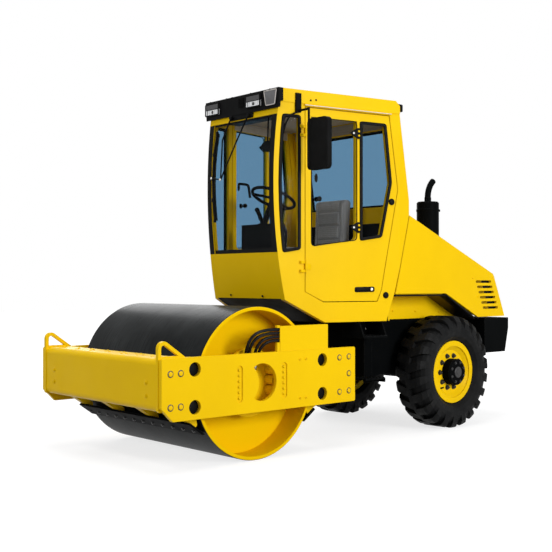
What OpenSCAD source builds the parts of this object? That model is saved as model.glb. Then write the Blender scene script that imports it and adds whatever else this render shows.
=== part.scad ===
// Single-drum road roller with a closed cab, hinged at a centre pivot.
// X points forward, Y to the driver's left and Z up; lengths are in millimetres.

/* [Drum] */
// Radius of the drum
drum_r = 529; // [480:1:580]
// Width of the drum
drum_w = 1422; // [1200:2:1600]
// Thickness of the drum's shell
drum_shell = 25; // [15:1:40]
// Bevel of the drum's outer edges
drum_edge = 5; // [2:0.5:10]
// Depth of the open recess at each end of the drum
drum_recess = 190; // [160:5:260]
// Thickness of the drum's two heads
drum_head = 30; // [20:1:45]
// Radius of the drum's hub boss
drum_hub_r = 150; // [110:1:180]
// Radius of the spindles that carry the drum
drum_spindle_r = 60; // [45:1:80]
// Radius of the carrier disc inside the drum's end
carrier_r = 240; // [200:2:300]
// Distance from the carrier disc to the side plate
carrier_stand = 100; // [80:1:120]
// Radius of the rubber buffers of a carrier
buffer_r = 34; // [25:1:40]

/* [Drum frame] */
// Free space between the drum's end and the side plate
side_gap = 26; // [20:1:40]
// Thickness of the side plates
side_plate_t = 30; // [20:1:40]
// Height of the side plates
side_plate_h = 404; // [360:2:460]
// Height of the side plates' middle above the drum's axis
side_plate_rise = 11; // [-20:1:40]
// Bevel at the side plates' front lower corner
side_plate_bevel = 90; // [40:2:130]
// Rounding of the side plates' corners
side_plate_round = 14; // [8:1:24]
// Length of the side plates behind the rear crossmember
side_plate_tail = 18; // [10:1:30]
// Radius of the tie-down holes in the side plates
tie_hole_r = 47; // [30:1:55]
// Distance of a tie-down hole's middle from the side plate's upper or lower edge
tie_hole_edge = 80; // [70:1:100]
// Distance of the tie-down holes from the drum's axis, along the machine
tie_hole_x = 576; // [540:1:600]
// Radius of the middle opening in the side plates
mid_opening_r = 129; // [100:1:140]
// Distance of the bolt grooves from the drum's axis
groove_x = 202; // [180:1:230]
// Width of a bolt groove
groove_w = 52; // [40:1:60]
// Depth of a bolt groove
groove_depth = 8; // [4:0.5:12]
// Distance of a bolt groove's ends from the side plate's edges
groove_edge = 78; // [60:1:110]
// Space from the drum to the front crossmember
front_room = 123; // [110:1:180]
// Length of the front crossmember along the machine
front_beam_l = 186; // [160:2:240]
// Height of the front crossmember
front_beam_h = 342; // [280:2:380]
// Rounding of the front crossmember's front edges
front_beam_round = 45; // [30:1:60]
// Thickness of the crossmembers' plates
beam_t = 20; // [12:1:28]
// Thickness of the lifting lug plates
lug_t = 25; // [16:1:30]
// Height of the lifting lugs above the side plates
lug_h = 108; // [90:1:140]
// Width of the lifting lugs' rim round their holes
lug_rim = 24; // [18:1:30]
// Radius of a lifting lug's peak
lug_r = 45; // [36:1:52]
// Length of the lifting lugs' plates behind the front crossmember
lug_tail = 90; // [60:1:110]
// Space from the drum to the rear crossmember
rear_room = 161; // [140:1:220]
// Length of the rear crossmember along the machine
rear_beam_l = 210; // [160:2:260]
// Height of the rear crossmember
rear_beam_h = 300; // [240:2:340]

/* [Scrapers] */
// Angle of the scraper blades' tips below the drum's axis
scraper_angle = 35; // [28:1:40]
// Length of a scraper blade
scraper_l = 150; // [110:1:170]
// Thickness of a scraper blade
scraper_t = 16; // [10:1:24]
// Gap between a scraper blade and the drum
scraper_gap = 7; // [6:0.5:15]
// Width of a scraper arm
scraper_arm_w = 60; // [40:1:80]

/* [Drum hoses] */
// Distance of the hose guard's front end behind the drum's axis
guard_x = 165; // [140:1:200]
// Length of the hose guard
guard_l = 469; // [400:1:500]
// Height of the hose guard
guard_h = 176; // [150:1:200]
// Thickness of the hose guard's sheet
guard_t = 6; // [4:0.5:8]
// Width of the square post beside the hoses
guard_post = 24; // [18:1:30]
// Radius of a hose
hose_r = 11; // [8:0.5:11]

/* [Centre pivot] */
// Distance from the rear crossmember to the centre pivot
pivot_back = 250; // [240:2:320]
// Radius of the centre pivot's pin
pivot_pin_r = 45; // [35:1:60]
// Radius of the centre pivot's boss
pivot_boss_r = 110; // [90:1:130]
// Height of the centre pivot's boss
pivot_boss_h = 140; // [110:2:180]
// Thickness of the fork plates on the rear chassis
fork_t = 35; // [25:1:50]

/* [Rear chassis] */
// Distance from the centre pivot to the rear axle
axle_back = 1034; // [1000:2:1160]
// Distance from the centre pivot to the chassis's front bulkhead
bulkhead_back = 250; // [240:2:320]
// Distance from the rear axle to the chassis's rear end
chassis_tail = 531; // [490:1:600]
// Half the width of the chassis
chassis_half = 400; // [360:2:420]
// Thickness of the chassis plates
chassis_t = 25; // [15:1:35]
// Height of the chassis rails' lower edge above the rear axle
axle_drop = 90; // [80:1:110]
// Height of the chassis rails' upper edge
deck_z = 915; // [880:1:950]
// Radius of the rear axle's tube
axle_tube_r = 75; // [60:1:85]
// Space between the engine and the chassis rails
engine_gap = 115; // [80:1:150]
// Height of the engine
engine_h = 520; // [440:1:560]

/* [Steps] */
// Length of the lower step
step_l = 230; // [180:1:260]
// Distance from the chassis's bulkhead back to the lower step's rear end
step_back = 92; // [80:1:120]
// Length of the upper step
step_upper_l = 270; // [220:1:290]
// Distance from the chassis's bulkhead back to the upper step's rear end
step_upper_back = 30; // [20:1:60]
// Height of the lower step
step_z = 458; // [440:1:480]
// Height of the upper step
step_upper_z = 800; // [780:1:830]
// Width of the lower step outside the chassis
step_reach = 160; // [120:1:170]
// Width of the upper step outside the chassis
step_upper_reach = 235; // [200:1:250]
// Thickness of the steps' plates
step_t = 12; // [8:1:16]

/* [Wheels] */
// Radius of the tyres over the lugs
tyre_r = 470; // [440:1:490]
// Width of a tyre
tyre_w = 305; // [270:1:330]
// Space between a tyre and the chassis
tyre_room = 39.5; // [30:0.5:60]
// Height of the tyres' lugs
tread_h = 28; // [20:1:34]
// Number of lugs in one row of a tyre
tread_n = 22; // [18:1:26]
// Width of the grooves between the lugs
tread_groove = 58; // [44:1:66]
// Angle of the lugs to the tyre's axis
tread_slant = 18; // [0:1:24]
// Radius of the tyre's seat on the rim
rim_r = 232; // [215:1:245]
// Height of the rim's flanges
rim_flange = 29; // [20:1:34]
// Thickness of the rim's flanges
rim_lip = 12; // [8:1:16]
// Width of the rim over its flanges
rim_w = 226; // [200:1:240]
// Thickness of the rim's barrel
rim_t = 16; // [8:1:22]
// Distance of the wheel's disc from the tyre's middle
disc_y = 62; // [40:1:66]
// Thickness of the wheel's disc
disc_t = 16; // [10:1:22]
// Radius of the black wheel hub
hub_r = 110; // [95:1:120]
// Length by which the hub stands out of the wheel's disc
hub_out = 83; // [70:1:115]
// Radius of the axle's spindles
spindle_r = 50; // [40:1:60]

/* [Cab] */
// Distance from the centre pivot forward to the windscreen's foremost point
cab_ahead = 723; // [690:1:760]
// Angle by which the cab's sides open towards the rear
cab_flare = 11.8; // [9:0.1:13]
// Thickness of the cab's walls and doors
wall_t = 40; // [30:1:50]
// Height of the top of the cab's walls
wall_top_z = 2580; // [2480:2:2640]
// Height of the roof above the walls
roof_h = 102; // [80:1:130]
// Distance by which the cab's rear wall leans back from the roof to the hood
rear_lean = 115; // [90:1:130]
// Height of the lean's lower end above the hood
rear_knee = 120; // [100:1:160]
// Distance of the windows' upper edge below the top of the walls
window_head = 94; // [80:1:120]
// Radius of the windscreen's upright curve
screen_r = 4070; // [3400:10:6000]
// Height of the windscreen's foremost point
screen_mid_z = 1976; // [1900:2:2050]
// Height of the windscreen's lower edge
screen_z0 = 1450; // [1400:2:1500]
// Width of the posts beside the windscreen
screen_post = 10; // [6:1:30]
// Height of the cab front's lower edge above the floor
front_rise = 37; // [30:1:45]
// Distance by which the cab front's lower edge lies behind the windscreen's foremost point
front_slope = 82; // [70:1:100]
// Distance from the windscreen's foremost point back to the cab sides' lowest corner
skirt_back = 447; // [420:1:480]
// Thickness of the glass
glass_t = 6; // [4:0.5:10]
// Depth of the side windows' glass in the walls
glass_in = 14; // [8:1:20]

/* [Doors] */
// Distance from the windscreen's foremost point to a door's front edge
door_x = 274; // [262:1:300]
// Length of a door at its top
door_l = 769; // [720:1:820]
// Distance from a door's rear edge to the cab's rear end, at the top
door_pillar = 105; // [95:1:130]
// Height of a door's lower edge above the cab side's lower edge
door_sill = 161; // [140:1:180]
// Distance of a door's upper edge below the top of the walls
door_head = 27; // [24:0.5:40]
// Height of a door's rearmost corner
door_knee_z = 1967; // [1900:1:2020]
// Distance by which the rearmost corner stands out behind the door's top
door_knee = 83; // [60:1:95]
// Width of a door's frame round its panes
door_frame = 48; // [40:1:60]
// Width of the bar between a door's panes
door_bar = 28; // [20:1:40]
// Length of a door's front pane
pane_l = 417; // [380:1:430]
// Rounding of the front pane's lower corners
pane_round = 38; // [20:1:50]
// Gap round a door
door_gap = 6; // [5:0.5:10]
// Radius of the doors' hinge barrels
hinge_r = 10; // [9:0.5:16]
// Height of the doors' hinge barrels
hinge_h = 44; // [40:1:80]
// Height of a door's lower hinge above its lower edge
hinge_low = 244; // [200:1:300]
// Distance of a door's upper hinge below its upper edge
hinge_high = 203; // [180:1:260]

/* [Cab fittings] */
// Length of the seat's cushion
seat_l = 470; // [420:1:500]
// Half the width of the seat
seat_half = 225; // [200:1:250]
// Height of the seat's cushion above the floor
seat_z = 450; // [400:1:480]
// Thickness of the seat's cushion and back
seat_t = 105; // [90:1:120]
// Height of the seat's back above the cushion
seat_back_h = 430; // [380:1:520]
// Space behind the seat
seat_room = 150; // [130:1:200]
// Half the width of the steering console
console_half = 205; // [150:1:220]
// Length of the steering console
console_l = 125; // [100:1:140]
// Height of the steering console above the floor
console_h = 620; // [560:1:640]
// Radius of the steering wheel
wheel_r = 190; // [170:1:200]
// Height of the steering wheel's middle above the console
wheel_rise = 215; // [190:1:230]
// Width of the mirror
mirror_w = 215; // [180:1:230]
// Height of the mirror
mirror_h = 385; // [340:1:400]
// Thickness of the mirror's housing
mirror_t = 45; // [35:1:55]
// Space between the mirror and the cab's side
mirror_room = 95; // [80:1:110]

/* [Roof lamps] */
// Width of a roof lamp
lamp_w = 165; // [140:1:180]
// Height of a roof lamp
lamp_h = 92; // [80:1:100]
// Length by which the visor reaches past the cab's front at each side
visor_over = 43; // [36:1:48]
// Height of the visor's lower edge below the top of the walls
visor_drop = 50; // [40:1:60]

/* [Hood] */
// Half the width of the hood
hood_half = 640; // [620:1:660]
// Thickness of the hood's walls
hood_t = 25; // [18:1:30]
// Height of the hood's top at the cab
hood_z1 = 1768; // [1740:1:1790]
// Height of the hood's top at its rear end
hood_z2 = 1299; // [1260:1:1340]
// Distance from the rear axle to the rear end of the hood's top
hood_back = 655; // [600:1:680]
// Distance by which the hood's rear end slopes back towards its lower edge
hood_rake = 160; // [140:1:180]
// Gap between the hood and its neighbours
hood_gap = 8; // [6:0.5:12]
// Height of the wheel arch above the tyre
arch_room = 190; // [170:1:210]
// Distance of the wheel arch's rear end inside the tyre's radius
arch_tuck = 37; // [20:1:80]
// Number of slots in the hood's louvres
louvre_n = 6; // [4:1:8]
// Length of a louvre's slot
louvre_l = 225; // [180:1:250]
// Height of a louvre's slot
louvre_h = 22; // [14:1:26]
// Radius of the hood's hinge barrels
hood_hinge_r = 10; // [8:0.5:14]
// Radius of the muffler
muffler_r = 98; // [80:1:110]
// Height of the muffler's top
muffler_z = 1935; // [1880:5:2000]
// Distance of the muffler behind the rear axle
muffler_back = 162; // [110:1:190]
// Distance of the muffler from the middle of the machine
muffler_y = 300; // [260:1:340]
// Radius of the tailpipe
pipe_r = 27; // [20:1:32]
// Radius of the tailpipe's bend
pipe_bend = 190; // [120:1:220]

/* [Ballast] */
// Length of the rear ballast along the machine
ballast_l = 377; // [320:1:420]
// Height of the rear ballast
ballast_h = 305; // [240:1:320]
// Distance by which the ballast's rear face slopes in
ballast_rake = 72; // [40:1:90]
// Bevel of the ballast's edges
ballast_edge = 10; // [8:1:30]

/* [Hidden] */
$fn = 96;
run_gap = 0.3;      // clearance of pieces that turn on each other
seat_gap = 0.3;     // clearance of glass in its frame
pivot_clear = 2;    // clearance above and below the pivot's boss
past = 1;           // length by which a cut runs past its face

// Heights and distances along the machine, measured from the drum's axis.
drum_z = drum_r;
drum_inner = drum_w / 2 - drum_recess;
plate_mid = drum_z + side_plate_rise;
plate_z0 = plate_mid - side_plate_h / 2;
plate_z1 = plate_mid + side_plate_h / 2;
side_in = drum_w / 2 + side_gap;
side_out = side_in + side_plate_t;
carrier_y = side_in - carrier_stand;
beam_x0 = drum_r + front_room;
beam_x1 = beam_x0 + front_beam_l;
beam_z0 = plate_z1 - front_beam_h;
lug_proud = 5;
lug_front = beam_x1 + lug_proud;
rear_beam_x1 = -drum_r - rear_room;
rear_beam_x0 = rear_beam_x1 - rear_beam_l;
rear_beam_z0 = plate_mid - rear_beam_h / 2;
plate_x0 = rear_beam_x0 - side_plate_tail;
pivot_x = rear_beam_x0 - pivot_back;
axle_x = pivot_x - axle_back;
bulkhead_x = pivot_x - bulkhead_back;
tail_x = axle_x - chassis_tail;
rear_x = tail_x - ballast_l;
rail_z = tyre_r + axle_drop;
tyre_y = chassis_half + tyre_room + tyre_w / 2;

// Cab, doors and hood
cab_l = door_x + door_l + door_pillar;
cab_x = pivot_x + cab_ahead;
cab_rear_x = cab_x - cab_l;
seam_x = cab_rear_x - rear_lean;
cab_front_half = hood_half - cab_l * tan(cab_flare);
roof_z = wall_top_z + roof_h;
window_z1 = wall_top_z - window_head;
door_front_x = cab_x - door_x;
door_rear_x = door_front_x - door_l;
door_z0 = deck_z + door_sill;
door_z1 = wall_top_z - door_head;
floor_lip = 14;
floor_z = door_z0 - floor_lip;
front_z0 = floor_z + front_rise;
front_x = cab_x - front_slope;
floor_ramp = 70;
floor_ramp_x = front_x - wall_t - floor_ramp;
roof_front = cab_x - 60;
knee_z = hood_z1 + rear_knee;
arch_z = 2 * tyre_r + arch_room;
arch_ahead = 190;
arch_fore = 16;
arch_x = seam_x + arch_ahead;
arch_top_x = axle_x + arch_fore;
arch_tail_x = axle_x - tyre_r + arch_tuck;
hood_front = seam_x - hood_gap;
hood_z0 = deck_z + 5;
hood_corner = 20;
hood_top_x = axle_x - hood_back;
row_x = -(lug_front + rear_x) / 2;

// Half the width of the cab outside, at a distance along the machine.
function cab_half(x) = min(hood_half, cab_front_half + (cab_x - x) * tan(cab_flare));

// Points on a round stretch of an outline.
function arc(x, z, r, a0, a1, steps = 6) =
    [for (i = [0 : steps]) let (a = a0 + (a1 - a0) * i / steps) [x + r * cos(a), z + r * sin(a)]];

// Point on a smooth curve between two ends with two handles.
function curve(p, t) =
    pow(1 - t, 3) * p[0] + 3 * pow(1 - t, 2) * t * p[1] + 3 * (1 - t) * t * t * p[2] + t * t * t * p[3];

// Paint colours
paint = [0.95, 0.75, 0.02];
black = [0.05, 0.05, 0.055];
steel = [0.22, 0.23, 0.24];
rubber = [0.03, 0.03, 0.03];
glass = [0.45, 0.6, 0.68, 0.4];
grey = [0.35, 0.36, 0.37];

// A cylinder along Y between two distances from the middle plane.
module y_cyl(r, y0, y1) {
    translate([0, y0, 0])
        rotate([-90, 0, 0])
            cylinder(r = r, h = y1 - y0);
}

// A flat outline drawn in X and Z, given a thickness along Y.
module y_slab(y0, y1) {
    translate([0, y1, 0])
        rotate([90, 0, 0])
            linear_extrude(y1 - y0)
                children();
}

// A flat outline drawn in Y and Z, given a thickness along X.
module x_slab(x0, x1) {
    translate([x0, 0, 0])
        rotate([90, 0, 90])
            linear_extrude(x1 - x0)
                children();
}

// A section drawn as radius and distance, turned about an axis along Y.
module y_turn() {
    rotate([-90, 0, 0])
        rotate_extrude()
            children();
}

// The left side's shape, on the right side.
module right() {
    mirror([0, 1, 0])
        children();
}

// A shape on both sides.
module both() {
    children();
    right() children();
}

// A rectangle from corner to corner.
module rect(x0, z0, x1, z1) {
    translate([x0, z0])
        square([x1 - x0, z1 - z0]);
}

// A rectangle with round corners.
module round_rect(x0, z0, x1, z1, r) {
    rect(x0 + r, z0, x1 - r, z1);
    rect(x0, z0 + r, x1, z1 - r);
    for (x = [x0 + r, x1 - r])
        for (z = [z0 + r, z1 - r])
            translate([x, z])
                circle(r);
}

// Everything is placed from the drum's axis and then moved to the middle of the machine.
module place() {
    translate([row_x, 0, 0])
        children();
}

// Half of the drum's section: shell with a bevelled edge, head and hub boss.
module drum_section() {
    bore = drum_spindle_r + run_gap;
    half = drum_w / 2;
    polygon([
        [drum_r - drum_shell, 0],
        [drum_r, 0],
        [drum_r, half - drum_edge],
        [drum_r - drum_edge, half],
        [drum_r - drum_shell, half]
    ]);
    rect(bore, drum_inner - drum_head, drum_r - drum_shell, drum_inner);
    rect(bore, drum_inner - drum_head, drum_hub_r, drum_inner + drum_head);
}

module drum() {
    color(steel) place()
        translate([0, 0, drum_z])
            y_turn() {
                drum_section();
                mirror([0, 1]) drum_section();
            }
}

// Spindle, motor, disc and buffers that carry one end of the drum on its side plate.
module drum_carrier(ports) {
    disc_t = 25;
    pad_t = 20;
    pad_half = 38;
    motor_r = 118;
    rows = 3;
    pad_h = side_plate_h - 2 * groove_edge;
    pitch = pad_h / rows;
    translate([0, 0, drum_z])
        y_turn() {
            rect(0, drum_inner - drum_head - pad_t, drum_spindle_r, drum_inner + drum_head + pad_t);
            rect(0, drum_inner + drum_head + past, motor_r, carrier_y);
            rect(0, carrier_y - disc_t, carrier_r, carrier_y);
        }
    for (x = [-groove_x, groove_x]) {
        y_slab(side_in - pad_t, side_in)
            rect(x - pad_half, plate_mid - pad_h / 2, x + pad_half, plate_mid + pad_h / 2);
        for (i = [0 : rows - 1])
            translate([x * 0.82, 0, plate_mid + (i - 1) * pitch * 0.86])
                y_cyl(buffer_r, carrier_y, side_in - pad_t);
    }
    for (p = ports)
        translate([p[0], 0, p[1]])
            y_cyl(hose_port_r, carrier_y, hose_port_y);
}

module drum_carrier_left() {
    color(paint) place() drum_carrier(hose_ports);
}

module drum_carrier_right() {
    color(paint) place() right() drum_carrier([]);
}

// Outline of a side plate, with its bevelled front corner and round rear corners.
module side_plate_outline() {
    cover = 10;
    cover_x = 40;
    difference() {
        round_rect(plate_x0, plate_z0, beam_x1, plate_z1, side_plate_round);
        polygon([
            [beam_x1 - side_plate_bevel, plate_z0 - past],
            [beam_x1 + past, plate_z0 - past],
            [beam_x1 + past, plate_z0 + side_plate_bevel]
        ]);
        for (x = [-tie_hole_x, tie_hole_x])
            for (z = [plate_z0 + tie_hole_edge, plate_z1 - tie_hole_edge])
                translate([x, z])
                    circle(tie_hole_r);
        difference() {
            translate([0, plate_mid])
                circle(mid_opening_r);
            translate([mid_opening_r + cover_x, plate_mid])
                circle(mid_opening_r + cover);
        }
    }
}

// Shallow upright groove with round ends for a row of bolts.
module bolt_groove(x) {
    y_slab(side_out - groove_depth, side_out + past)
        round_rect(
            x - groove_w / 2, plate_z0 + groove_edge,
            x + groove_w / 2, plate_z1 - groove_edge, groove_w / 2 - past
        );
}

module side_plate() {
    difference() {
        y_slab(side_in, side_out) side_plate_outline();
        bolt_groove(groove_x);
        bolt_groove(-groove_x);
    }
}

module side_plate_left() {
    color(paint) place() side_plate();
}

module side_plate_right() {
    color(paint) place() right() side_plate();
}

// Lug plate with a rounded peak and its three-cornered lifting hole.
module lug_outline() {
    peak = [lug_front - lug_r, plate_z1 + lug_h - lug_r];
    away = peak - [beam_x0 - lug_rim, plate_z1];
    slope = atan2(away[1], away[0]) + asin(lug_r / norm(away));
    square_to = [-sin(slope), cos(slope)];
    hole_r = lug_r - lug_rim;
    hole_z = plate_z1 + lug_rim / 2;
    hole_top = peak + hole_r * square_to;
    corner = 20;
    difference() {
        union() {
            round_rect(beam_x0 - lug_tail, beam_z0, lug_front, plate_z1, corner);
            polygon([
                [beam_x0 - lug_rim, plate_z1 - lug_rim],
                [beam_x0 - lug_rim, plate_z1],
                peak + lug_r * square_to,
                peak,
                [lug_front, peak[1]],
                [lug_front, plate_z1 - lug_rim]
            ]);
            translate(peak) circle(lug_r);
        }
        polygon([
            [hole_top[0] - (hole_top[1] - hole_z) / tan(slope), hole_z],
            hole_top,
            peak,
            [lug_front - lug_rim, peak[1]],
            [lug_front - lug_rim, hole_z]
        ]);
        translate(peak) circle(hole_r);
    }
}

// Front crossmember: a channel with rounded front edges between the two lug plates.
module front_crossmember() {
    lug_in = side_in - lug_t;
    back = beam_x1 - 2 * front_beam_round - beam_t;
    color(paint) place() {
        y_slab(-lug_in, lug_in)
            difference() {
                union() {
                    rect(beam_x0, beam_z0, beam_x1 - front_beam_round, plate_z1);
                    round_rect(back, beam_z0, beam_x1, plate_z1, front_beam_round);
                }
                rect(beam_x0 - past, beam_z0 + beam_t, beam_x1 - front_beam_round, plate_z1 - beam_t);
                round_rect(
                    back, beam_z0 + beam_t,
                    beam_x1 - beam_t, plate_z1 - beam_t, front_beam_round - beam_t
                );
            }
        both()
            y_slab(lug_in, side_in) lug_outline();
    }
}

// Rear crossmember: a channel open towards the drum, with the centre pivot's tongue.
module rear_crossmember() {
    z1 = plate_mid + rear_beam_h / 2;
    boss_z0 = plate_mid - pivot_boss_h / 2;
    tongue_h = pivot_boss_h * 0.7;
    tongue_half = 2.4 * pivot_boss_r;
    neck_half = pivot_boss_r - 5;
    color(paint) place()
        difference() {
            union() {
                y_slab(-side_in, side_in)
                    difference() {
                        rect(rear_beam_x0, rear_beam_z0, rear_beam_x1, z1);
                        rect(
                            rear_beam_x0 + beam_t, rear_beam_z0 + beam_t,
                            rear_beam_x1 + past, z1 - beam_t
                        );
                    }
                translate([0, 0, plate_mid - tongue_h / 2])
                    linear_extrude(tongue_h)
                        polygon([
                            [rear_beam_x0 + past, -tongue_half],
                            [rear_beam_x0 + past, tongue_half],
                            [pivot_x, neck_half],
                            [pivot_x, -neck_half]
                        ]);
                translate([pivot_x, 0, boss_z0])
                    cylinder(r = pivot_boss_r, h = pivot_boss_h);
            }
            translate([pivot_x, 0, boss_z0 - past])
                cylinder(r = pivot_pin_r + run_gap, h = pivot_boss_h + 2 * past);
        }
}

// Scraper blade's tip by the drum and its back edge, ahead of or behind the axis.
scraper_tip_r = drum_r + scraper_gap;
scraper_tip = [scraper_tip_r * cos(scraper_angle), drum_z - scraper_tip_r * sin(scraper_angle)];
scraper_along = [cos(scraper_angle), sin(scraper_angle)];
scraper_across = [-sin(scraper_angle), cos(scraper_angle)];
scraper_back = scraper_tip + scraper_l * scraper_along;

// Blade as a strip with a bevelled tip, drawn ahead of the axis.
module scraper_blade_outline() {
    polygon([
        scraper_tip,
        scraper_back,
        scraper_back - scraper_t * scraper_across,
        scraper_tip + scraper_t * scraper_along - scraper_t * scraper_across
    ]);
}

// Arm from the blade's back up to a crossmember's lower edge.
module scraper_arm_outline(x, z) {
    foot = scraper_back - 0.45 * scraper_l * scraper_along;
    thick = 1.4 * scraper_t * scraper_across;
    top_l = 55;
    polygon([
        foot,
        scraper_back,
        [x + top_l, z],
        [x, z],
        scraper_back + 2 * thick - 0.3 * scraper_l * scraper_along,
        foot + thick
    ]);
}

// Row of arms under a crossmember.
module scraper_arms(x, z) {
    span = drum_w / 2 - scraper_arm_w;
    for (y = [-span, -span / 3, span / 3, span])
        y_slab(y - scraper_arm_w / 2, y + scraper_arm_w / 2)
            scraper_arm_outline(x, z);
}

module scraper_front() {
    color(paint) place() scraper_arms(beam_x0, beam_z0);
}

module scraper_rear() {
    color(paint) place()
        mirror([1, 0, 0]) scraper_arms(-rear_beam_x1 + beam_t, rear_beam_z0);
}

module scraper_blades() {
    end = scraper_arm_w / 4;
    color(black) place()
        for (s = [0, 1])
            mirror([s, 0, 0])
                y_slab(-drum_w / 2 + end, drum_w / 2 - end)
                    scraper_blade_outline();
}

// Bent guard on the left side plate that the drum's hoses come out of.
guard_x1 = -guard_x;
guard_y1 = side_out - 2;
guard_y0 = side_in - guard_t + 1;
module hose_guard() {
    x0 = guard_x1 - guard_l;
    z1 = plate_z1 + guard_h;
    color(paint) place() {
        y_slab(guard_y0, guard_y1)
            difference() {
                rect(x0, plate_z1, guard_x1, z1);
                rect(x0 + guard_t, plate_z1 + guard_t, guard_x1 + past, z1 - guard_t);
            }
        y_slab(guard_y1 - guard_t, guard_y1)
            rect(x0, plate_z1, guard_x1, z1);
        y_slab(side_in + past, side_in + past + guard_post)
            difference() {
                rect(guard_x1, plate_z1, guard_x1 + guard_post, z1 + guard_t);
                rect(guard_x1 - past, hose_z0, guard_x1 + guard_post + past, hose_z1);
            }
    }
}

// Four hoses that leave the guard, curve down into the drum's recess and end at the carrier.
hose_n = 4;
hose_pitch = 2.3 * hose_r;
hose_y = guard_y1 - guard_t - hose_r - 1;
hose_z1 = plate_z1 + guard_h - 2 * guard_t;
hose_z0 = hose_z1 - hose_n * hose_pitch;
hose_reach = [250, 226, 176, 150];
hose_port_r = 1.4 * hose_r;
hose_port_y = carrier_y + 14;
hose_ports = [for (i = [0 : hose_n - 1]) [guard_x1 + hose_reach[i] - hose_r, plate_mid + 96 - 6 * i]];
function hose_route(i) =
    let (z = hose_z1 - hose_pitch * (i + 0.5), x = guard_x1 + hose_reach[i])
    [
        [guard_x1 - 3 * hose_r, hose_y, z],
        [x, hose_y, z + hose_r],
        [x + hose_r, side_in - hose_r, z - 3 * hose_r],
        [hose_ports[i][0], hose_port_y, hose_ports[i][1]]
    ];

// Tube swept along a hose's route.
module hose(p) {
    rings = 13;
    sides = 8;
    ends = [for (k = [0 : rings]) curve(p, k / rings)];
    points = [
        for (k = [0 : rings])
            let (
                lo = max(k - 1, 0), hi = min(k + 1, rings),
                d = (ends[hi] - ends[lo]) / norm(ends[hi] - ends[lo]),
                u = k == rings ? [-1, 0, 0] : cross([0, 1, 0], d) / norm(cross([0, 1, 0], d)),
                v = cross(k == rings ? [0, -1, 0] : d, u)
            )
            for (j = [0 : sides - 1])
                ends[k] + hose_r * (u * cos(360 * j / sides) + v * sin(360 * j / sides))
    ];
    walls = [
        for (k = [0 : rings - 1])
            for (j = [0 : sides - 1])
                let (a = k * sides + j, b = k * sides + (j + 1) % sides)
                for (f = [[a, a + sides, b], [b, a + sides, b + sides]]) f
    ];
    caps = [
        [for (j = [0 : sides - 1]) j],
        [for (j = [0 : sides - 1]) (rings + 1) * sides - 1 - j]
    ];
    polyhedron(points, concat(walls, caps));
}

module drum_hoses() {
    color(rubber) place()
        for (i = [0 : hose_n - 1])
            hose(hose_route(i));
}

// Rear chassis: rails, bulkheads, engine tray and the fork of the centre pivot.
module chassis() {
    boss_z0 = plate_mid - pivot_boss_h / 2 - pivot_clear;
    boss_z1 = plate_mid + pivot_boss_h / 2 + pivot_clear;
    fork_z0 = boss_z0 - fork_t;
    fork_z1 = boss_z1 + fork_t;
    fork_half = 2.2 * pivot_boss_r;
    eye_r = pivot_boss_r - 10;
    wall_x = axle_x + 160;
    foot = 80;
    color(black) place() {
        both()
            y_slab(chassis_half - chassis_t, chassis_half)
                polygon([
                    [bulkhead_x, fork_z0],
                    [bulkhead_x, deck_z],
                    [tail_x, deck_z],
                    [tail_x, rail_z],
                    [wall_x + chassis_t, rail_z],
                    [bulkhead_x - foot, fork_z0]
                ]);
        y_slab(-chassis_half + chassis_t, chassis_half - chassis_t) {
            rect(bulkhead_x - chassis_t, fork_z0, bulkhead_x, deck_z);
            rect(tail_x, rail_z, tail_x + chassis_t, deck_z);
            rect(tail_x + chassis_t, rail_z, wall_x, rail_z + chassis_t);
            rect(wall_x, rail_z, wall_x + chassis_t, deck_z);
        }
        for (z = [fork_z0, boss_z1])
            translate([0, 0, z])
                linear_extrude(fork_t) {
                    polygon([
                        [bulkhead_x - chassis_t / 2, -fork_half],
                        [bulkhead_x - chassis_t / 2, fork_half],
                        [pivot_x, eye_r],
                        [pivot_x, -eye_r]
                    ]);
                    translate([pivot_x, 0])
                        circle(eye_r);
                }
        translate([pivot_x, 0, fork_z0])
            cylinder(r = pivot_pin_r, h = fork_z1 - fork_z0);
    }
}

// Rear axle with its differential case, pads, brake housings and spindles.
module rear_axle() {
    case_half = 130;
    case_r = axle_drop - 5;
    pad_half = 110;
    pad_in = 70;
    brake_r = 140;
    brake_y = tyre_y - tyre_w / 2 - 20;
    brake_l = 45;
    color(black) place()
        translate([axle_x, 0, tyre_r]) {
            y_turn()
                for (s = [0, 1])
                    mirror([0, s])
                        polygon([
                            [0, 0],
                            [case_r, 0],
                            [case_r, case_half / 2],
                            [axle_tube_r, case_half],
                            [axle_tube_r, brake_y],
                            [brake_r, brake_y],
                            [brake_r, brake_y + brake_l],
                            [spindle_r, brake_y + brake_l],
                            [spindle_r, tyre_y + rim_w / 2],
                            [0, tyre_y + rim_w / 2]
                        ]);
            both()
                y_slab(chassis_half - chassis_t - pad_in, chassis_half)
                    rect(-pad_half, 0, pad_half, axle_drop);
        }
}

// Cast ballast behind the chassis, with bevelled rear corners.
module ballast() {
    z1 = deck_z - 2 * hood_gap + 6;
    z0 = z1 - ballast_h;
    corner = 2 * ballast_edge;
    color(black) place()
        intersection() {
            y_slab(-hood_half, hood_half)
                polygon([
                    [tail_x, z1],
                    [tail_x, z0],
                    [rear_x + ballast_rake, z0],
                    [rear_x, z1 - ballast_edge],
                    [rear_x + ballast_edge, z1]
                ]);
            translate([0, 0, z0 - past])
                linear_extrude(ballast_h + 2 * past)
                    polygon([
                        [tail_x + past, -hood_half],
                        [tail_x + past, hood_half],
                        [rear_x + corner, hood_half],
                        [rear_x - past, hood_half - corner],
                        [rear_x - past, -hood_half + corner],
                        [rear_x + corner, -hood_half]
                    ]);
        }
}

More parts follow.
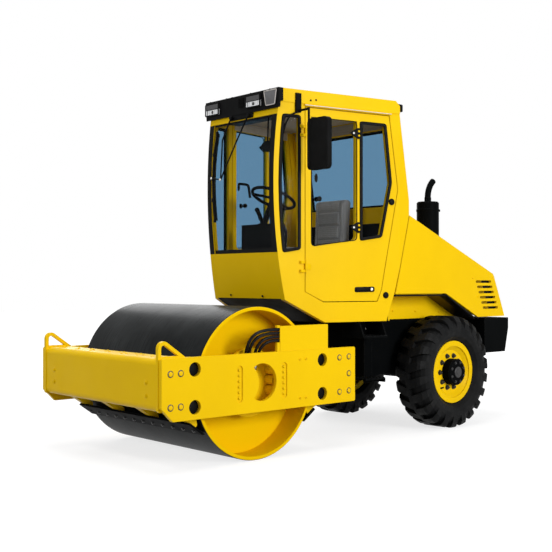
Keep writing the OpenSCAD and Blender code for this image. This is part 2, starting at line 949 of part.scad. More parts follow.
module engine_block() {
    half = chassis_half - chassis_t - engine_gap;
    end_gap = 35;
    color(grey) place()
        translate([tail_x + chassis_t + end_gap, -half, rail_z + chassis_t])
            cube([chassis_tail + end_gap - 15, 2 * half, engine_h]);
}

// Inner wall and roof of a wheel arch, on the chassis rail.
module arch_panel() {
    lap = 15;
    sheet = 15;
    out = 5;
    end_x = tail_x + 90;
    turn_x = arch_top_x - 10;
    y_slab(chassis_half - lap, chassis_half + out)
        polygon([[arch_x, deck_z], [arch_x, arch_z], [turn_x, arch_z], [end_x, deck_z]]);
    intersection() {
        y_slab(chassis_half + out, hood_half)
            polygon([
                [arch_x, deck_z],
                [arch_x, arch_z],
                [turn_x, arch_z],
                [end_x, deck_z],
                [end_x, deck_z - sheet],
                [turn_x - out, arch_z - sheet],
                [arch_x - sheet, arch_z - sheet],
                [arch_x - sheet, deck_z]
            ]);
        cab_prism(wall_t + 2);
    }
}

module arch_panels() {
    color(paint) place() both() arch_panel();
}

// Hanger with two treads below a door; the upper tread has slanted cheeks.
module step_set() {
    x0 = bulkhead_x - step_back;
    upper_x0 = bulkhead_x - step_upper_back;
    upper_x1 = upper_x0 + step_upper_l;
    y_slab(chassis_half, chassis_half + step_t) {
        rect(x0, step_z - 4 * step_t, bulkhead_x, deck_z - step_t);
        rect(upper_x0, step_upper_z - step_t, upper_x1, deck_z - step_t);
    }
    translate([x0, chassis_half, step_z - step_t])
        cube([step_l, step_reach, step_t]);
    y_slab(chassis_half + step_t, chassis_half + step_reach)
        rect(x0, step_z - 3 * step_t, x0 + step_t, step_z);
    translate([upper_x0, chassis_half, step_upper_z - step_t])
        cube([step_upper_l, step_upper_reach, step_t]);
    for (x = [upper_x0, upper_x1 - step_t])
        x_slab(x, x + step_t)
            polygon([
                [chassis_half, step_upper_z - step_t],
                [chassis_half + step_upper_reach, step_upper_z - step_t],
                [chassis_half + step_upper_reach - 4 * step_t, deck_z - step_t],
                [chassis_half, deck_z - step_t]
            ]);
}

module steps() {
    color(black) place() both() step_set();
}

// Plan of the cab with its flaring sides, drawn inside or outside by a distance.
module cab_plan(inset, x0, x1) {
    f = tan(cab_flare);
    w0 = cab_front_half - inset / cos(cab_flare);
    intersection() {
        polygon([
            [x1, w0 + (cab_x - x1) * f],
            [x1, -w0 - (cab_x - x1) * f],
            [x0, -w0 - (cab_x - x0) * f],
            [x0, w0 + (cab_x - x0) * f]
        ]);
        rect(x0, -hood_half + inset, x1, hood_half - inset);
    }
}

// Prism over the cab's plan.
module cab_prism(inset) {
    linear_extrude(roof_z + 2 * wall_t)
        cab_plan(inset, rear_x, cab_x + 4 * wall_t);
}

// Disc whose edge is the windscreen's curve, moved back by a distance.
module screen_disc(back) {
    translate([cab_x - screen_r - back, screen_mid_z])
        circle(screen_r, $fn = 720);
}

// Side view of the cab without its roof.
skirt_x = cab_x - skirt_back;
brow = 30;
module cab_profile() {
    intersection() {
        polygon([
            [front_x, front_z0],
            [cab_x - brow, screen_z0],
            [cab_x + brow, screen_z0],
            [cab_x + brow, wall_top_z],
            [cab_rear_x, wall_top_z],
            [seam_x, knee_z],
            [seam_x, hood_z1],
            [arch_x - 20, arch_z],
            [arch_x + 55, deck_z],
            [skirt_x, deck_z]
        ]);
        screen_disc(0);
    }
}

// Door seen from the side, grown or shrunk by a distance.
module door_outline(grow) {
    toe = 116;
    toe_rise = 87;
    toe_back = 39;
    bevel_x = 160;
    bevel_z = 76;
    polygon([
        [door_front_x + grow, door_z1 + grow],
        [door_rear_x - grow, door_z1 + grow],
        [door_rear_x - door_knee - grow, door_knee_z],
        [door_rear_x + toe - toe_back - grow, door_z0 + toe_rise],
        [door_rear_x + toe - grow, door_z0 - grow],
        [door_front_x - bevel_x, door_z0 - grow],
        [door_front_x + grow, door_z0 + bevel_z]
    ]);
}

// Front pane and rear pane of a door, seen from the side.
pane_x0 = door_front_x - door_frame;
pane_x1 = pane_x0 - pane_l;
rear_pane_x = pane_x1 - door_bar;
pane_rise = 0.13;
module front_pane(shrink) {
    r = pane_round;
    x0 = pane_x0 - shrink;
    x1 = pane_x1 + shrink;
    z0 = screen_z0 + door_frame + shrink;
    z1 = window_z1 - shrink;
    polygon(concat(
        [[x0, z1]],
        [[x1, z1]],
        arc(x1 + r, z0 + r + pane_rise * (x0 - x1), r, 180, 270),
        arc(x0 - r, z0 + r, r, 270, 360)
    ));
}

module rear_pane(shrink) {
    x0 = rear_pane_x - shrink;
    x1 = door_rear_x + door_frame - 15 + shrink;
    drop = 43;
    sill = screen_z0 + door_frame + pane_rise * pane_l + shrink;
    polygon([
        [x0, window_z1 - shrink],
        [x1, window_z1 - shrink],
        [x1 - 0.64 * door_knee, door_knee_z + 53],
        [x1 + drop, sill + pane_rise * (x0 - x1)],
        [x0, sill]
    ]);
}

module door_panes(shrink) {
    front_pane(shrink);
    rear_pane(shrink);
}

// Quarter window between the windscreen and the door, seen from the side.
quarter_back = 45;
module quarter_outline(shrink) {
    x1 = door_front_x + door_frame + shrink;
    rise = 24;
    intersection() {
        polygon([
            [cab_x + brow, screen_z0 + shrink],
            [cab_x + brow, window_z1 - shrink],
            [x1, window_z1 - shrink],
            [x1, screen_z0 + rise + shrink]
        ]);
        screen_disc(quarter_back + shrink);
    }
}

// The part of a side-view outline that lies in the cab's side wall.
module in_side_wall(inset, thick) {
    intersection() {
        y_slab(0, 2 * hood_half) children();
        difference() {
            cab_prism(inset);
            cab_prism(inset + thick);
        }
    }
}

// Position of a door's hinge axis.
hinge_x = door_front_x + 3;
hinge_y = cab_half(hinge_x) + hinge_r + 2;
hinge_heights = [door_z0 + hinge_low, door_z1 - hinge_high];
leaf_l = 40;

module hinge_barrel(z, h) {
    translate([hinge_x, hinge_y, z])
        cylinder(r = hinge_r, h = h);
}

// Side wall with the door's opening, the quarter window and the gutter above the door.
module cab_side() {
    knuckle = hinge_h / 2;
    gutter = 14;
    in_side_wall(0, wall_t)
        difference() {
            cab_profile();
            door_outline(door_gap);
            quarter_outline(0);
        }
    in_side_wall(-gutter, gutter)
        rect(door_rear_x - gutter, wall_top_z - gutter - 3, door_front_x + gutter, wall_top_z - 3);
    for (z = hinge_heights)
        for (dz = [-knuckle - run_gap, hinge_h + run_gap]) {
            hinge_barrel(z + dz, knuckle);
            translate([hinge_x, hinge_y - hinge_r - 6, z + dz])
                cube([hinge_r + leaf_l, hinge_r + 4, knuckle]);
        }
}

module cab_side_left() {
    color(paint) place() cab_side();
}

module cab_side_right() {
    color(paint) place() right() cab_side();
}

// Cab front below, beside and above the windscreen, between the side walls.
screen_half = cab_front_half - wall_t / cos(cab_flare) - screen_post;
module cab_front() {
    reach = front_slope + 2 * wall_t;
    color(paint) place()
        difference() {
            intersection() {
                y_slab(-hood_half, hood_half)
                    difference() {
                        intersection() {
                            cab_profile();
                            rect(cab_x - reach, front_z0, cab_x + brow, wall_top_z);
                        }
                        translate([-wall_t, -past]) cab_profile();
                    }
                cab_prism(wall_t);
            }
            y_slab(-screen_half, screen_half)
                rect(cab_x - 2 * reach, screen_z0, cab_x + brow, window_z1);
        }
}

module windscreen() {
    half = screen_half - seat_gap;
    back = 10;
    color(glass) place()
        y_slab(-half, half)
            difference() {
                intersection() {
                    screen_disc(back);
                    rect(
                        cab_x - 3 * front_slope, screen_z0 + seat_gap,
                        cab_x + brow, window_z1 - seat_gap
                    );
                }
                screen_disc(back + glass_t);
            }
}

module quarter_windows() {
    color(glass) place()
        both()
            in_side_wall(glass_in, glass_t) quarter_outline(seat_gap);
}

// Rear wall of the cab with its window.
rear_window_half = hood_half - wall_t - 120;
rear_window_z0 = hood_z1 + 82;
rear_window_z1 = wall_top_z - 110;

// Slice of the leaning rear wall, from one depth to another.
module rear_wall_slice(d0, d1) {
    polygon([
        [cab_rear_x + d0, wall_top_z],
        [cab_rear_x + d1, wall_top_z],
        [seam_x + d1, knee_z],
        [seam_x + d1, floor_z],
        [seam_x + d0, floor_z],
        [seam_x + d0, knee_z]
    ]);
}

module rear_window_cut(shrink) {
    x_slab(seam_x - wall_t, cab_rear_x + 2 * wall_t)
        rect(
            -rear_window_half + shrink, rear_window_z0 + shrink,
            rear_window_half - shrink, rear_window_z1 - shrink
        );
}

module cab_rear() {
    notch = 20;
    color(paint) place()
        difference() {
            intersection() {
                y_slab(-hood_half, hood_half) rear_wall_slice(0, wall_t);
                cab_prism(wall_t);
            }
            rear_window_cut(0);
            both()
                translate([seam_x - past, chassis_half - notch, floor_z - past])
                    cube([wall_t + 2 * past, hood_half, arch_z + 3 * past - floor_z]);
        }
    color(paint) place()
        for (y = hood_hinge_y)
            for (dy = [-hood_hinge_w - run_gap, hood_hinge_w / 2 + run_gap])
                hood_hinge(y + dy, hood_hinge_w / 2, 1);
}

module rear_window() {
    depth = 12;
    color(glass) place()
        intersection() {
            y_slab(-hood_half, hood_half) rear_wall_slice(depth, depth + glass_t);
            rear_window_cut(seat_gap);
        }
}

// Hinge axis of the hood, with barrels whose leaf points forward or back.
hood_hinge_x = seam_x - hood_hinge_r - 2;
hood_hinge_z = hood_z1 + hood_hinge_r + 2;
hood_hinge_y = [-350, 350];
hood_hinge_w = 60;
module hood_hinge(y0, w, dir) {
    leaf = 4;
    translate([hood_hinge_x, 0, hood_hinge_z])
        y_cyl(hood_hinge_r, y0, y0 + w);
    y_slab(y0, y0 + w)
        if (dir > 0)
            rect(hood_hinge_x, hood_hinge_z - leaf, seam_x + leaf, hood_hinge_z + leaf);
        else
            rect(hood_hinge_x - hood_hinge_w, hood_z1 - 35, hood_hinge_x, hood_hinge_z - leaf);
}

// Floor of the cab, with the black underside that slopes up to the cab's front.
module cab_floor() {
    notch = 20;
    color(black) place()
        difference() {
            intersection() {
                y_slab(-hood_half, hood_half)
                    polygon([
                        [seam_x, deck_z],
                        [seam_x, floor_z],
                        [floor_ramp_x, floor_z],
                        [front_x - wall_t, front_z0],
                        [front_x - 2, front_z0],
                        [skirt_x - 3, deck_z]
                    ]);
                cab_prism(wall_t);
            }
            both()
                translate([seam_x - past, chassis_half - notch, deck_z - past])
                    cube([arch_x + 15 - seam_x, hood_half, floor_z]);
        }
}

// Roof with a level top and bevelled edges.
roof_lip = 4;
module cab_roof() {
    bevel = 40;
    color(paint) place()
        intersection() {
            y_slab(-hood_half - roof_lip, hood_half + roof_lip)
                polygon([
                    [cab_rear_x, wall_top_z],
                    [cab_rear_x, roof_z - bevel],
                    [cab_rear_x + bevel, roof_z],
                    [roof_front, roof_z],
                    [roof_front, wall_top_z]
                ]);
            cab_prism(-roof_lip);
        }
}

// Black fascia in front of the roof.
visor_half = cab_front_half + visor_over;
visor_z1 = roof_z - 6;
visor_front = cab_x - 14;
visor_foot = cab_x - 30;
module visor_shape() {
    y_slab(-visor_half, visor_half)
        polygon([
            [roof_front, wall_top_z],
            [roof_front, visor_z1],
            [visor_front, visor_z1],
            [visor_foot + 8, wall_top_z - visor_drop],
            [visor_foot, wall_top_z - visor_drop],
            [visor_foot - 4, wall_top_z]
        ]);
}

module visor() {
    color(black) place() visor_shape();
}

// Two lamps on the visor's front: one near the left corner, one at the right end.
module roof_lamps() {
    edge = 10;
    proud = 10;
    z0 = visor_z1 - lamp_h - 2 * edge;
    left_y = visor_half - 2 * lamp_w + lamp_w / 4;
    color("white") place()
        difference() {
            x_slab(visor_foot, visor_front + proud)
                for (y = [left_y - lamp_w / 2, -visor_half + edge])
                    round_rect(y, z0, y + lamp_w, z0 + lamp_h, edge);
            visor_shape();
        }
}

// Seat on its pedestal, behind the steering console.
seat_back_x = seam_x + wall_t + seat_room;
seat_front_x = seat_back_x + seat_t + seat_l;
module seat_base() {
    half = seat_half - 60;
    z1 = floor_z + seat_z - seat_t;
    foot_h = 60;
    inset = 30;
    x0 = seat_back_x + seat_t + inset;
    x1 = seat_front_x - 2 * inset;
    color(black) place() {
        translate([x0, -half, floor_z])
            cube([x1 - x0, 2 * half, foot_h]);
        translate([x0 + inset, -half + inset, floor_z])
            cube([x1 - x0 - 2 * inset, 2 * half - 2 * inset, z1 - floor_z]);
        translate([x0, -half, z1 - inset])
            cube([x1 - x0, 2 * half, inset]);
    }
}

module seat() {
    z0 = floor_z + seat_z - seat_t;
    corner = 40;
    lean = 45;
    color(grey) place() {
        translate([0, 0, z0])
            linear_extrude(seat_t)
                round_rect(seat_back_x + seat_t, -seat_half, seat_front_x, seat_half, corner);
        y_slab(-seat_half + corner / 2, seat_half - corner / 2)
            polygon([
                [seat_back_x + lean, z0],
                [seat_back_x + lean + seat_t, z0],
                [seat_back_x + lean + seat_t, z0 + seat_t],
                [seat_back_x + seat_t, z0 + seat_t + seat_back_h],
                [seat_back_x, z0 + seat_t + seat_back_h]
            ]);
    }
}

// Steering console in front of the driver, with a sloping top.
console_x1 = floor_ramp_x - 3;
console_x0 = console_x1 - console_l;
module console_shape() {
    slope = 60;
    y_slab(-console_half, console_half)
        polygon([
            [console_x1, floor_z],
            [console_x1, floor_z + console_h],
            [console_x0 + slope / 2, floor_z + console_h],
            [console_x0, floor_z + console_h - slope],
            [console_x0 + slope / 2, floor_z]
        ]);
}

module console() {
    color(black) place() console_shape();
}

module steering_wheel() {
    tilt = 25;
    rim = 13;
    hub = 32;
    column_r = 24;
    column_l = 1.35 * wheel_rise;
    color(black) place()
        difference() {
            translate([console_x0 - 35, 0, floor_z + console_h + wheel_rise])
                rotate([0, -tilt, 0]) {
                    rotate_extrude()
                        translate([wheel_r - rim, 0])
                            circle(rim);
                    cylinder(r = hub, h = 2 * rim, center = true);
                    for (a = [60, 180, 300])
                        rotate([0, 0, a])
                            translate([0, -rim, -rim / 2])
                                cube([wheel_r - rim, 2 * rim, rim]);
                    translate([0, 0, -column_l])
                        cylinder(r = column_r, h = column_l);
                }
            console_shape();
        }
}

// Mirror on a bent rod that hangs from a bracket beside the roof's front corner.
mirror_x = hinge_x + 20;
module cab_mirror() {
    rod = 9;
    corner = 35;
    arm_z = window_z1 + 34;
    z0 = arm_z - 75 - mirror_h;
    y0 = cab_half(mirror_x) + mirror_room;
    rod_y = y0 + 2 * rod;
    rod_x = mirror_x + mirror_t;
    bracket = 50;
    bracket_t = 16;
    color(black) place() {
        x_slab(mirror_x, mirror_x + mirror_t)
            round_rect(y0, z0, y0 + mirror_w, z0 + mirror_h, corner);
        translate([rod_x, rod_y, z0 + corner])
            cylinder(r = rod, h = arm_z - z0 - corner + rod);
        difference() {
            union() {
                translate([rod_x, 0, arm_z])
                    y_cyl(rod, 0, rod_y);
                translate([rod_x - bracket / 2, 0, arm_z - rod])
                    cube([bracket, cab_half(rod_x) + bracket_t, wall_top_z - arm_z + roof_h - 20]);
            }
            cab_prism(-roof_lip);
        }
        difference() {
            translate([rod_x, 0, arm_z])
                y_cyl(rod, 0, rod_y);
            cab_prism(0);
        }
    }
}

// Tyre: a bulged carcass and two rows of slanted lugs that wrap over its shoulders.
crown_r = tyre_r - tread_h;
tyre_half = tyre_w / 2;
bead_half = rim_w / 2 - rim_lip - 1;

// Half of the carcass's section, from the rim's seat to the crown.
module carcass_section() {
    h = crown_r - rim_r;
    polygon([
        [rim_r + run_gap, 0],
        [rim_r + run_gap, bead_half],
        [rim_r + rim_flange + 3, bead_half],
        [rim_r + rim_flange + 8, rim_w / 2],
        [rim_r + 0.32 * h, tyre_half - 10],
        [rim_r + 0.5 * h, tyre_half - 1],
        [rim_r + 0.66 * h, tyre_half - 1],
        [rim_r + 0.82 * h, tyre_half - 12],
        [rim_r + 0.94 * h, tyre_half - 38],
        [crown_r, tyre_half - 80],
        [crown_r, 0]
    ]);
}

// Section of one row of lugs before its grooves are cut.
tread_over = 16;
tread_wrap = 75;
module tread_section() {
    polygon([
        [crown_r - 10, -tread_over],
        [tyre_r, -tread_over],
        [tyre_r, tyre_half - 48],
        [tyre_r - 10, tyre_half - 24],
        [crown_r - 22, tyre_half],
        [crown_r - tread_wrap, tyre_half],
        [crown_r - tread_wrap - 8, tyre_half - 14],
        [crown_r - 40, tyre_half - 40],
        [crown_r - 10, tyre_half - 90]
    ]);
}

module tread_row(turn) {
    difference() {
        y_turn() tread_section();
        for (i = [0 : tread_n - 1])
            rotate([0, turn + i * 360 / tread_n, 0])
                translate([crown_r - tread_wrap - 20, tyre_half / 2, 0])
                    rotate([tread_slant, 0, 0])
                        translate([0, -tyre_w / 2, -tread_groove / 2])
                            cube([tread_wrap + tread_h + 40, tyre_w, tread_groove]);
    }
}

module tyre() {
    at_wheel() {
        y_turn() {
            carcass_section();
            mirror([0, 1]) carcass_section();
        }
        tread_row(0);
        right() tread_row(180 / tread_n);
    }
}

module at_wheel() {
    place()
        translate([axle_x, tyre_y, tyre_r])
            children();
}

module tyre_left() {
    color(rubber) tyre();
}

module tyre_right() {
    color(rubber) right() tyre();
}

// Rim with its flanges and a disc that is dished towards the hub.
hub_gap = 0.3;
module rim() {
    in_r = rim_r - rim_t;
    lip_r = rim_r + rim_flange;
    half = rim_w / 2;
    dish = 34;
    step = 26;
    at_wheel()
        y_turn()
            polygon([
                [in_r, -half],
                [lip_r, -half],
                [lip_r, rim_lip - half],
                [rim_r, rim_lip - half],
                [rim_r, half - rim_lip],
                [lip_r, half - rim_lip],
                [lip_r, half],
                [in_r, half],
                [in_r, disc_y + disc_t + step],
                [in_r - dish, disc_y + disc_t],
                [hub_r + hub_gap, disc_y + disc_t],
                [hub_r + hub_gap, disc_y],
                [in_r - dish + disc_t / 2, disc_y],
                [in_r, disc_y + step]
            ]);
}

module rim_left() {
    color(paint) rim();
}

module rim_right() {
    color(paint) right() rim();
}

// Hub with its flange behind the disc and a bevelled cap that stands out.
module hub() {
    bore = spindle_r + run_gap;
    flange_t = 25;
    flange_r = hub_r + 55;
    tail = 60;
    end = disc_y + disc_t + hub_out;
    bevel = 14;
    at_wheel() y_turn() {
        rect(bore, -tail, hub_r, rim_w / 2 + run_gap);
        rect(bore, disc_y - flange_t, flange_r, disc_y);
        polygon([
            [0, rim_w / 2 + run_gap],
            [hub_r, rim_w / 2 + run_gap],
            [hub_r, end - bevel],
            [hub_r - bevel, end],
            [0, end]
        ]);
    }
}

module hub_left() {
    color(black) hub();
}

module hub_right() {
    color(black) right() hub();
}

module door() {
    in_side_wall(0, wall_t)
        difference() {
            door_outline(0);
            door_panes(0);
        }
    for (z = hinge_heights) {
        hinge_barrel(z, hinge_h);
        translate([hinge_x - hinge_r - leaf_l, hinge_y - hinge_r, z])
            cube([hinge_r + leaf_l, hinge_r, hinge_h]);
    }
}

module door_left() {
    color(paint) place() door();
}

module door_right() {
    color(paint) place() right() door();
}

module door_glass() {
    in_side_wall(glass_in, glass_t) door_panes(seat_gap);
}

module door_glass_left() {
    color(glass) place() door_glass();
}

module door_glass_right() {
    color(glass) place() right() door_glass();
}

// Side view of the hood.
hood_rear_z1 = hood_z2 - hood_corner;
hood_rear_x = hood_top_x - 0.75 * hood_corner;
hood_foot_x = hood_rear_x - hood_rake;
module hood_profile() {
    polygon([
        [hood_front, hood_z1],
        [hood_top_x, hood_z2],
        [hood_rear_x, hood_rear_z1],
        [hood_foot_x, hood_z0],
        [arch_tail_x, hood_z0],
        [arch_top_x, arch_z],
        [hood_front + 170, arch_z]
    ]);
}

// Hollow of the hood in side view, open at the front and below.
module hood_inside() {
    open = 2 * hood_t;
    ahead = 12 * hood_t;
    polygon([
        [hood_front + 200, hood_z1 - hood_t - 4],
        [hood_front, hood_z1 - hood_t - 4],
        [hood_top_x + 10, hood_z2 - hood_t - 2],
        [hood_rear_x + hood_t, hood_rear_z1 - hood_corner],
        [hood_foot_x + hood_t + 2, hood_z0 - past],
        [arch_tail_x + open, hood_z0 - past],
        [arch_top_x, arch_z - 2 * open],
        [hood_front + ahead, arch_z - 2 * open]
    ]);
}

// Slots of the louvres: a slanted column on the sides and a row across the rear face.
louvre_z1 = hood_z2 - 59;
louvre_pitch = (louvre_z1 - hood_z0 - 2 * louvre_h) / louvre_n;
hood_slope = hood_rake / (hood_rear_z1 - hood_z0);
module side_louvre(i) {
    z = louvre_z1 - i * louvre_pitch;
    edge = 60;
    x0 = hood_rear_x - (hood_rear_z1 - z) * hood_slope + edge;
    round_rect(x0, z - louvre_h, x0 + louvre_l, z, louvre_h / 2 - 0.5);
}

module rear_louvres() {
    bar = 60;
    end = 110;
    w = (2 * hood_half - 2 * end - 2 * bar) / 3;
    for (i = [0 : louvre_n - 1])
        for (k = [0 : 2]) {
            z = louvre_z1 - i * louvre_pitch;
            y = -hood_half + end + k * (w + bar);
            round_rect(y, z - louvre_h, y + w, z, louvre_h / 2 - 0.5);
        }
}

module hood() {
    color(paint) place() {
        difference() {
            y_slab(-hood_half, hood_half) hood_profile();
            y_slab(-hood_half + hood_t, hood_half - hood_t) hood_inside();
            y_slab(-hood_half - past, hood_half + past)
                for (i = [0 : louvre_n - 1])
                    side_louvre(i);
            x_slab(hood_foot_x - past, hood_rear_x + 2 * hood_t)
                rear_louvres();
        }
        for (y = hood_hinge_y)
            hood_hinge(y - hood_hinge_w / 2, hood_hinge_w, -1);
    }
}

// Part of the tailpipe's bend, from one angle on.
module pipe_arc(start, angle, r) {
    rotate([0, 0, start])
        rotate_extrude(angle = angle)
            translate([pipe_bend, 0])
                circle(r);
}

// Muffler with a stepped cap and a tailpipe that bends to the rear, on the hood.
muffler_x = axle_x - muffler_back;
module muffler() {
    slope = (hood_z1 - hood_z2) / (hood_front - hood_top_x);
    z0 = hood_z2 + slope * (muffler_x - hood_top_x);
    sunk = 1.5 * muffler_r * slope;
    edge = 8;
    sleeve_h = 40;
    sleeve = 3;
    buried = 9;
    angle = 52;
    mouth = 15;
    pipe_t = 4;
    color(black) place()
        difference() {
            translate([muffler_x, muffler_y, 0]) {
                translate([0, 0, z0 - sunk])
                    cylinder(r = muffler_r, h = muffler_z - edge - z0 + sunk);
                translate([0, 0, muffler_z - 2 * edge])
                    cylinder(r = muffler_r - edge, h = 2 * edge);
                translate([0, 0, muffler_z - past])
                    cylinder(r = pipe_r + sleeve, h = sleeve_h + past);
                translate([-pipe_bend, 0, muffler_z + sleeve_h])
                    rotate([90, buried, 0])
                        difference() {
                            pipe_arc(0, angle + buried, pipe_r);
                            pipe_arc(angle + buried - mouth, mouth + past, pipe_r - pipe_t);
                        }
            }
            y_slab(0, hood_half) hood_profile();
        }
}

drum();
side_plate_left();
side_plate_right();
front_crossmember();
rear_crossmember();
drum_carrier_left();
drum_carrier_right();
scraper_front();
scraper_rear();
scraper_blades();
hose_guard();
drum_hoses();
chassis();
rear_axle();
ballast();
engine_block();
arch_panels();
steps();
cab_floor();
cab_front();
cab_side_left();
cab_side_right();
cab_rear();
cab_roof();
visor();
roof_lamps();
windscreen();
quarter_windows();
rear_window();
seat_base();
seat();
console();
steering_wheel();
cab_mirror();
tyre_left();
rim_left();
hub_left();
tyre_right();
rim_right();
hub_right();
door_left();
door_glass_left();
door_right();
door_glass_right();
hood();
muffler();
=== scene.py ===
from math import cos, pi, radians, sin, sqrt, tan

import bmesh
import bpy
from mathutils import Matrix, Vector


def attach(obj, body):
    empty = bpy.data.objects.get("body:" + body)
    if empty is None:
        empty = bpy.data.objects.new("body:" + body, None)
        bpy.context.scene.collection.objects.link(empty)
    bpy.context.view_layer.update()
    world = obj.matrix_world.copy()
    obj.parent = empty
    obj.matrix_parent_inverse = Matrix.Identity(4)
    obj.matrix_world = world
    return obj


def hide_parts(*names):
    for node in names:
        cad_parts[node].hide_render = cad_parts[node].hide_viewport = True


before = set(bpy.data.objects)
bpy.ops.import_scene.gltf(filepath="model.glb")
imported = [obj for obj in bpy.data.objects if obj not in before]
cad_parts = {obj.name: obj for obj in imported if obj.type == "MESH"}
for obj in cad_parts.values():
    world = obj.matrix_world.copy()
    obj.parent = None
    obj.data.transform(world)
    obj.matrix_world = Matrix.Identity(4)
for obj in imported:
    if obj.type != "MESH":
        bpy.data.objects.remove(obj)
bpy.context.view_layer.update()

scene = bpy.context.scene
scene.view_settings.view_transform = "Standard"


# Pieces are drawn in millimetres from the drum's axis: X forward, Y left, Z up.
drumAxisX = 1124.5
forward, leftward, upward = (1, 0, 0), (0, 1, 0), (0, 0, 1)
cabFlare = tan(radians(11.8))
cabFrontX, cabFrontHalf, hoodHalf = -427, 400.16, 640
sideNormal = Vector((cabFlare, 1, 0)).normalized()  # outward from the cab's left side
rearWall = {"x": -1690, "knee": 1888, "lean": 115 / 692}
screenArc = {"x": -4507, "z": 1976, "radius": 4070}


def toRow(x, y, z):
    return Vector(((x + drumAxisX) / 1000, y / 1000, z / 1000))


def cabSideY(x):
    return min(hoodHalf, cabFrontHalf + (cabFrontX - x) * cabFlare)


def onCabSide(x, z, stand=0):
    return Vector((x, cabSideY(x), z)) + sideNormal * stand


def rearWallX(z):  # outer face of the cab's rear wall, which leans above its knee
    return rearWall["x"] + max(0, z - rearWall["knee"]) * rearWall["lean"]


def screenX(z, ahead=0):  # outer face of the curved windscreen
    return screenArc["x"] + ahead + sqrt(screenArc["radius"] ** 2 - (z - screenArc["z"]) ** 2)


# Camera, where the photographer stood
cameraView = {
    "place": (5.4068, 5.6973, 1.2261),
    "forward": (-0.6664, -0.7456),
    "pitch": 0.361,
    "lens": 62.13,
    "sensor": 36,
    "clipEnd": 200,
}


def aimed(name, data, place, direction):  # a camera or a lamp that looks along a direction
    obj = bpy.data.objects.new(name, data)
    scene.collection.objects.link(obj)
    obj.location = place
    obj.rotation_euler = Vector(direction).to_track_quat("-Z", "Y").to_euler()
    return obj


def makeCamera():
    view = cameraView
    lens = bpy.data.cameras.new("photoCamera")
    lens.lens, lens.sensor_width, lens.sensor_fit = view["lens"], view["sensor"], "HORIZONTAL"
    lens.clip_end = view["clipEnd"]
    scene.camera = aimed("photoCamera", lens, view["place"], (*view["forward"], tan(radians(view["pitch"]))))


makeCamera()
print("camera set")


# Node helpers
def feed(sink, value):  # links a socket, or sets a number, a vector or a colour
    if hasattr(value, "is_linked"):
        sink.id_data.links.new(value, sink)
    else:
        sink.default_value = (*value, 1) if sink.type == "RGBA" else value


def wire(node, **values):  # feeds a node's inputs by their labels, and sets its own properties
    for key, value in values.items():
        label = key.replace("_", " ")
        if label in node.inputs:
            feed(node.inputs[label], value)
        else:
            setattr(node, key, value)
    return node


def addNode(tree, kind, **values):
    return wire(tree.nodes.new("ShaderNode" + kind), **values)


def newMaterial(name, **values):
    material = bpy.data.materials.new(name)
    material.use_nodes = True
    tree = material.node_tree
    return material, tree, wire(tree.nodes["Principled BSDF"], **values)


def objectPoint(tree, move=(0, 0, 0)):
    coord = addNode(tree, "TexCoord")
    return addNode(tree, "Mapping", Vector=coord.outputs["Object"], Location=move).outputs["Vector"]


def axes(point):  # a point's X, Y and Z
    return addNode(point.id_data, "SeparateXYZ", Vector=point).outputs


def noise(point, scale, detail=3, rough=0.55):
    node = addNode(point.id_data, "TexNoise", Vector=point, Scale=scale, Detail=detail, Roughness=rough)
    return node.outputs["Fac"]


def spread(value, fromLow, fromHigh, low=0, high=1):
    node = addNode(value.id_data, "MapRange", Value=value, From_Min=fromLow, From_Max=fromHigh)
    return wire(node, To_Min=low, To_Max=high).outputs["Result"]


def blendColour(factor, first, second):
    node = addNode(factor.id_data, "Mix", data_type="RGBA")
    for i, value in ((0, factor), (6, first), (7, second)):
        feed(node.inputs[i], value)
    return node.outputs[2]


def maths(operation, first, *others):
    node = addNode(first.id_data, "Math", operation=operation)
    for sink, value in zip(node.inputs, (first, *others)):
        feed(sink, value)
    return node.outputs[0]


def mixShaders(factor, first, second):
    node = addNode(factor.id_data, "MixShader")
    for sink, value in zip(node.inputs, (factor, first.outputs[0], second.outputs[0])):
        feed(sink, value)
    return node.outputs[0]


def bumped(shader, height, strength, distance, normal=None):
    node = addNode(shader.id_data, "Bump", Height=height, Strength=strength, Distance=distance)
    if normal:
        wire(node, Normal=normal)
    wire(shader, Normal=node.outputs["Normal"])


def roundedNormal(tree, radius):
    return addNode(tree, "Bevel", samples=4, Radius=radius).outputs["Normal"]


def nearEdge(normal):  # how far a rounded normal leans away from the true one
    tree = normal.id_data
    dot = addNode(tree, "VectorMath", operation="DOT_PRODUCT")
    feed(dot.inputs[0], normal)
    feed(dot.inputs[1], addNode(tree, "NewGeometry").outputs["Normal"])
    return spread(dot.outputs["Value"], 0.98, 0.8)


def seenDirectly(tree):  # rays from the camera, off gloss or through glass
    path = addNode(tree, "LightPath").outputs
    seen = maths("MAXIMUM", path["Is Camera Ray"], path["Is Glossy Ray"])
    return maths("MAXIMUM", seen, path["Is Transmission Ray"])


# Paints: noise is given as its scale and detail
# The edge colour, lighter than the body, is paint wear and also a painted highlight along rounded edges; on
# frameBlack it draws light edge lines
yellowPaint = {
    "body": (0.86, 0.55, 0.002), "shade": (0.82, 0.515, 0.002), "edge": (0.93, 0.66, 0.02), "rough": (0.3, 0.42),
    "round": 0.005, "gloss": 0.05,
}
paints = {
    "machineYellow": yellowPaint,
    "archPaintAndShade": {**yellowPaint, "round": 0.004, "paintedShade": (0.008, 0.0065, 0.004), "paintedShadeTop": (0.30, 0.18, 0.002),
                  "shadeX": -1.05, "shadeY": 0.4056, "shadeZ": (0.98, 1.16)},
    "frameBlack": {"body": (0.0022, 0.0026, 0.0028), "shade": (0.0036, 0.004, 0.0042), "edge": (0.09, 0.09, 0.088),
                   "rough": (0.36, 0.5), "round": 0.004, "gloss": 0.006},
}
paintNoise = {"clouds": (2.3, 5), "wearAndHighlight": (31, 4), "sheen": (9, 4), "skin": (420, 2)}
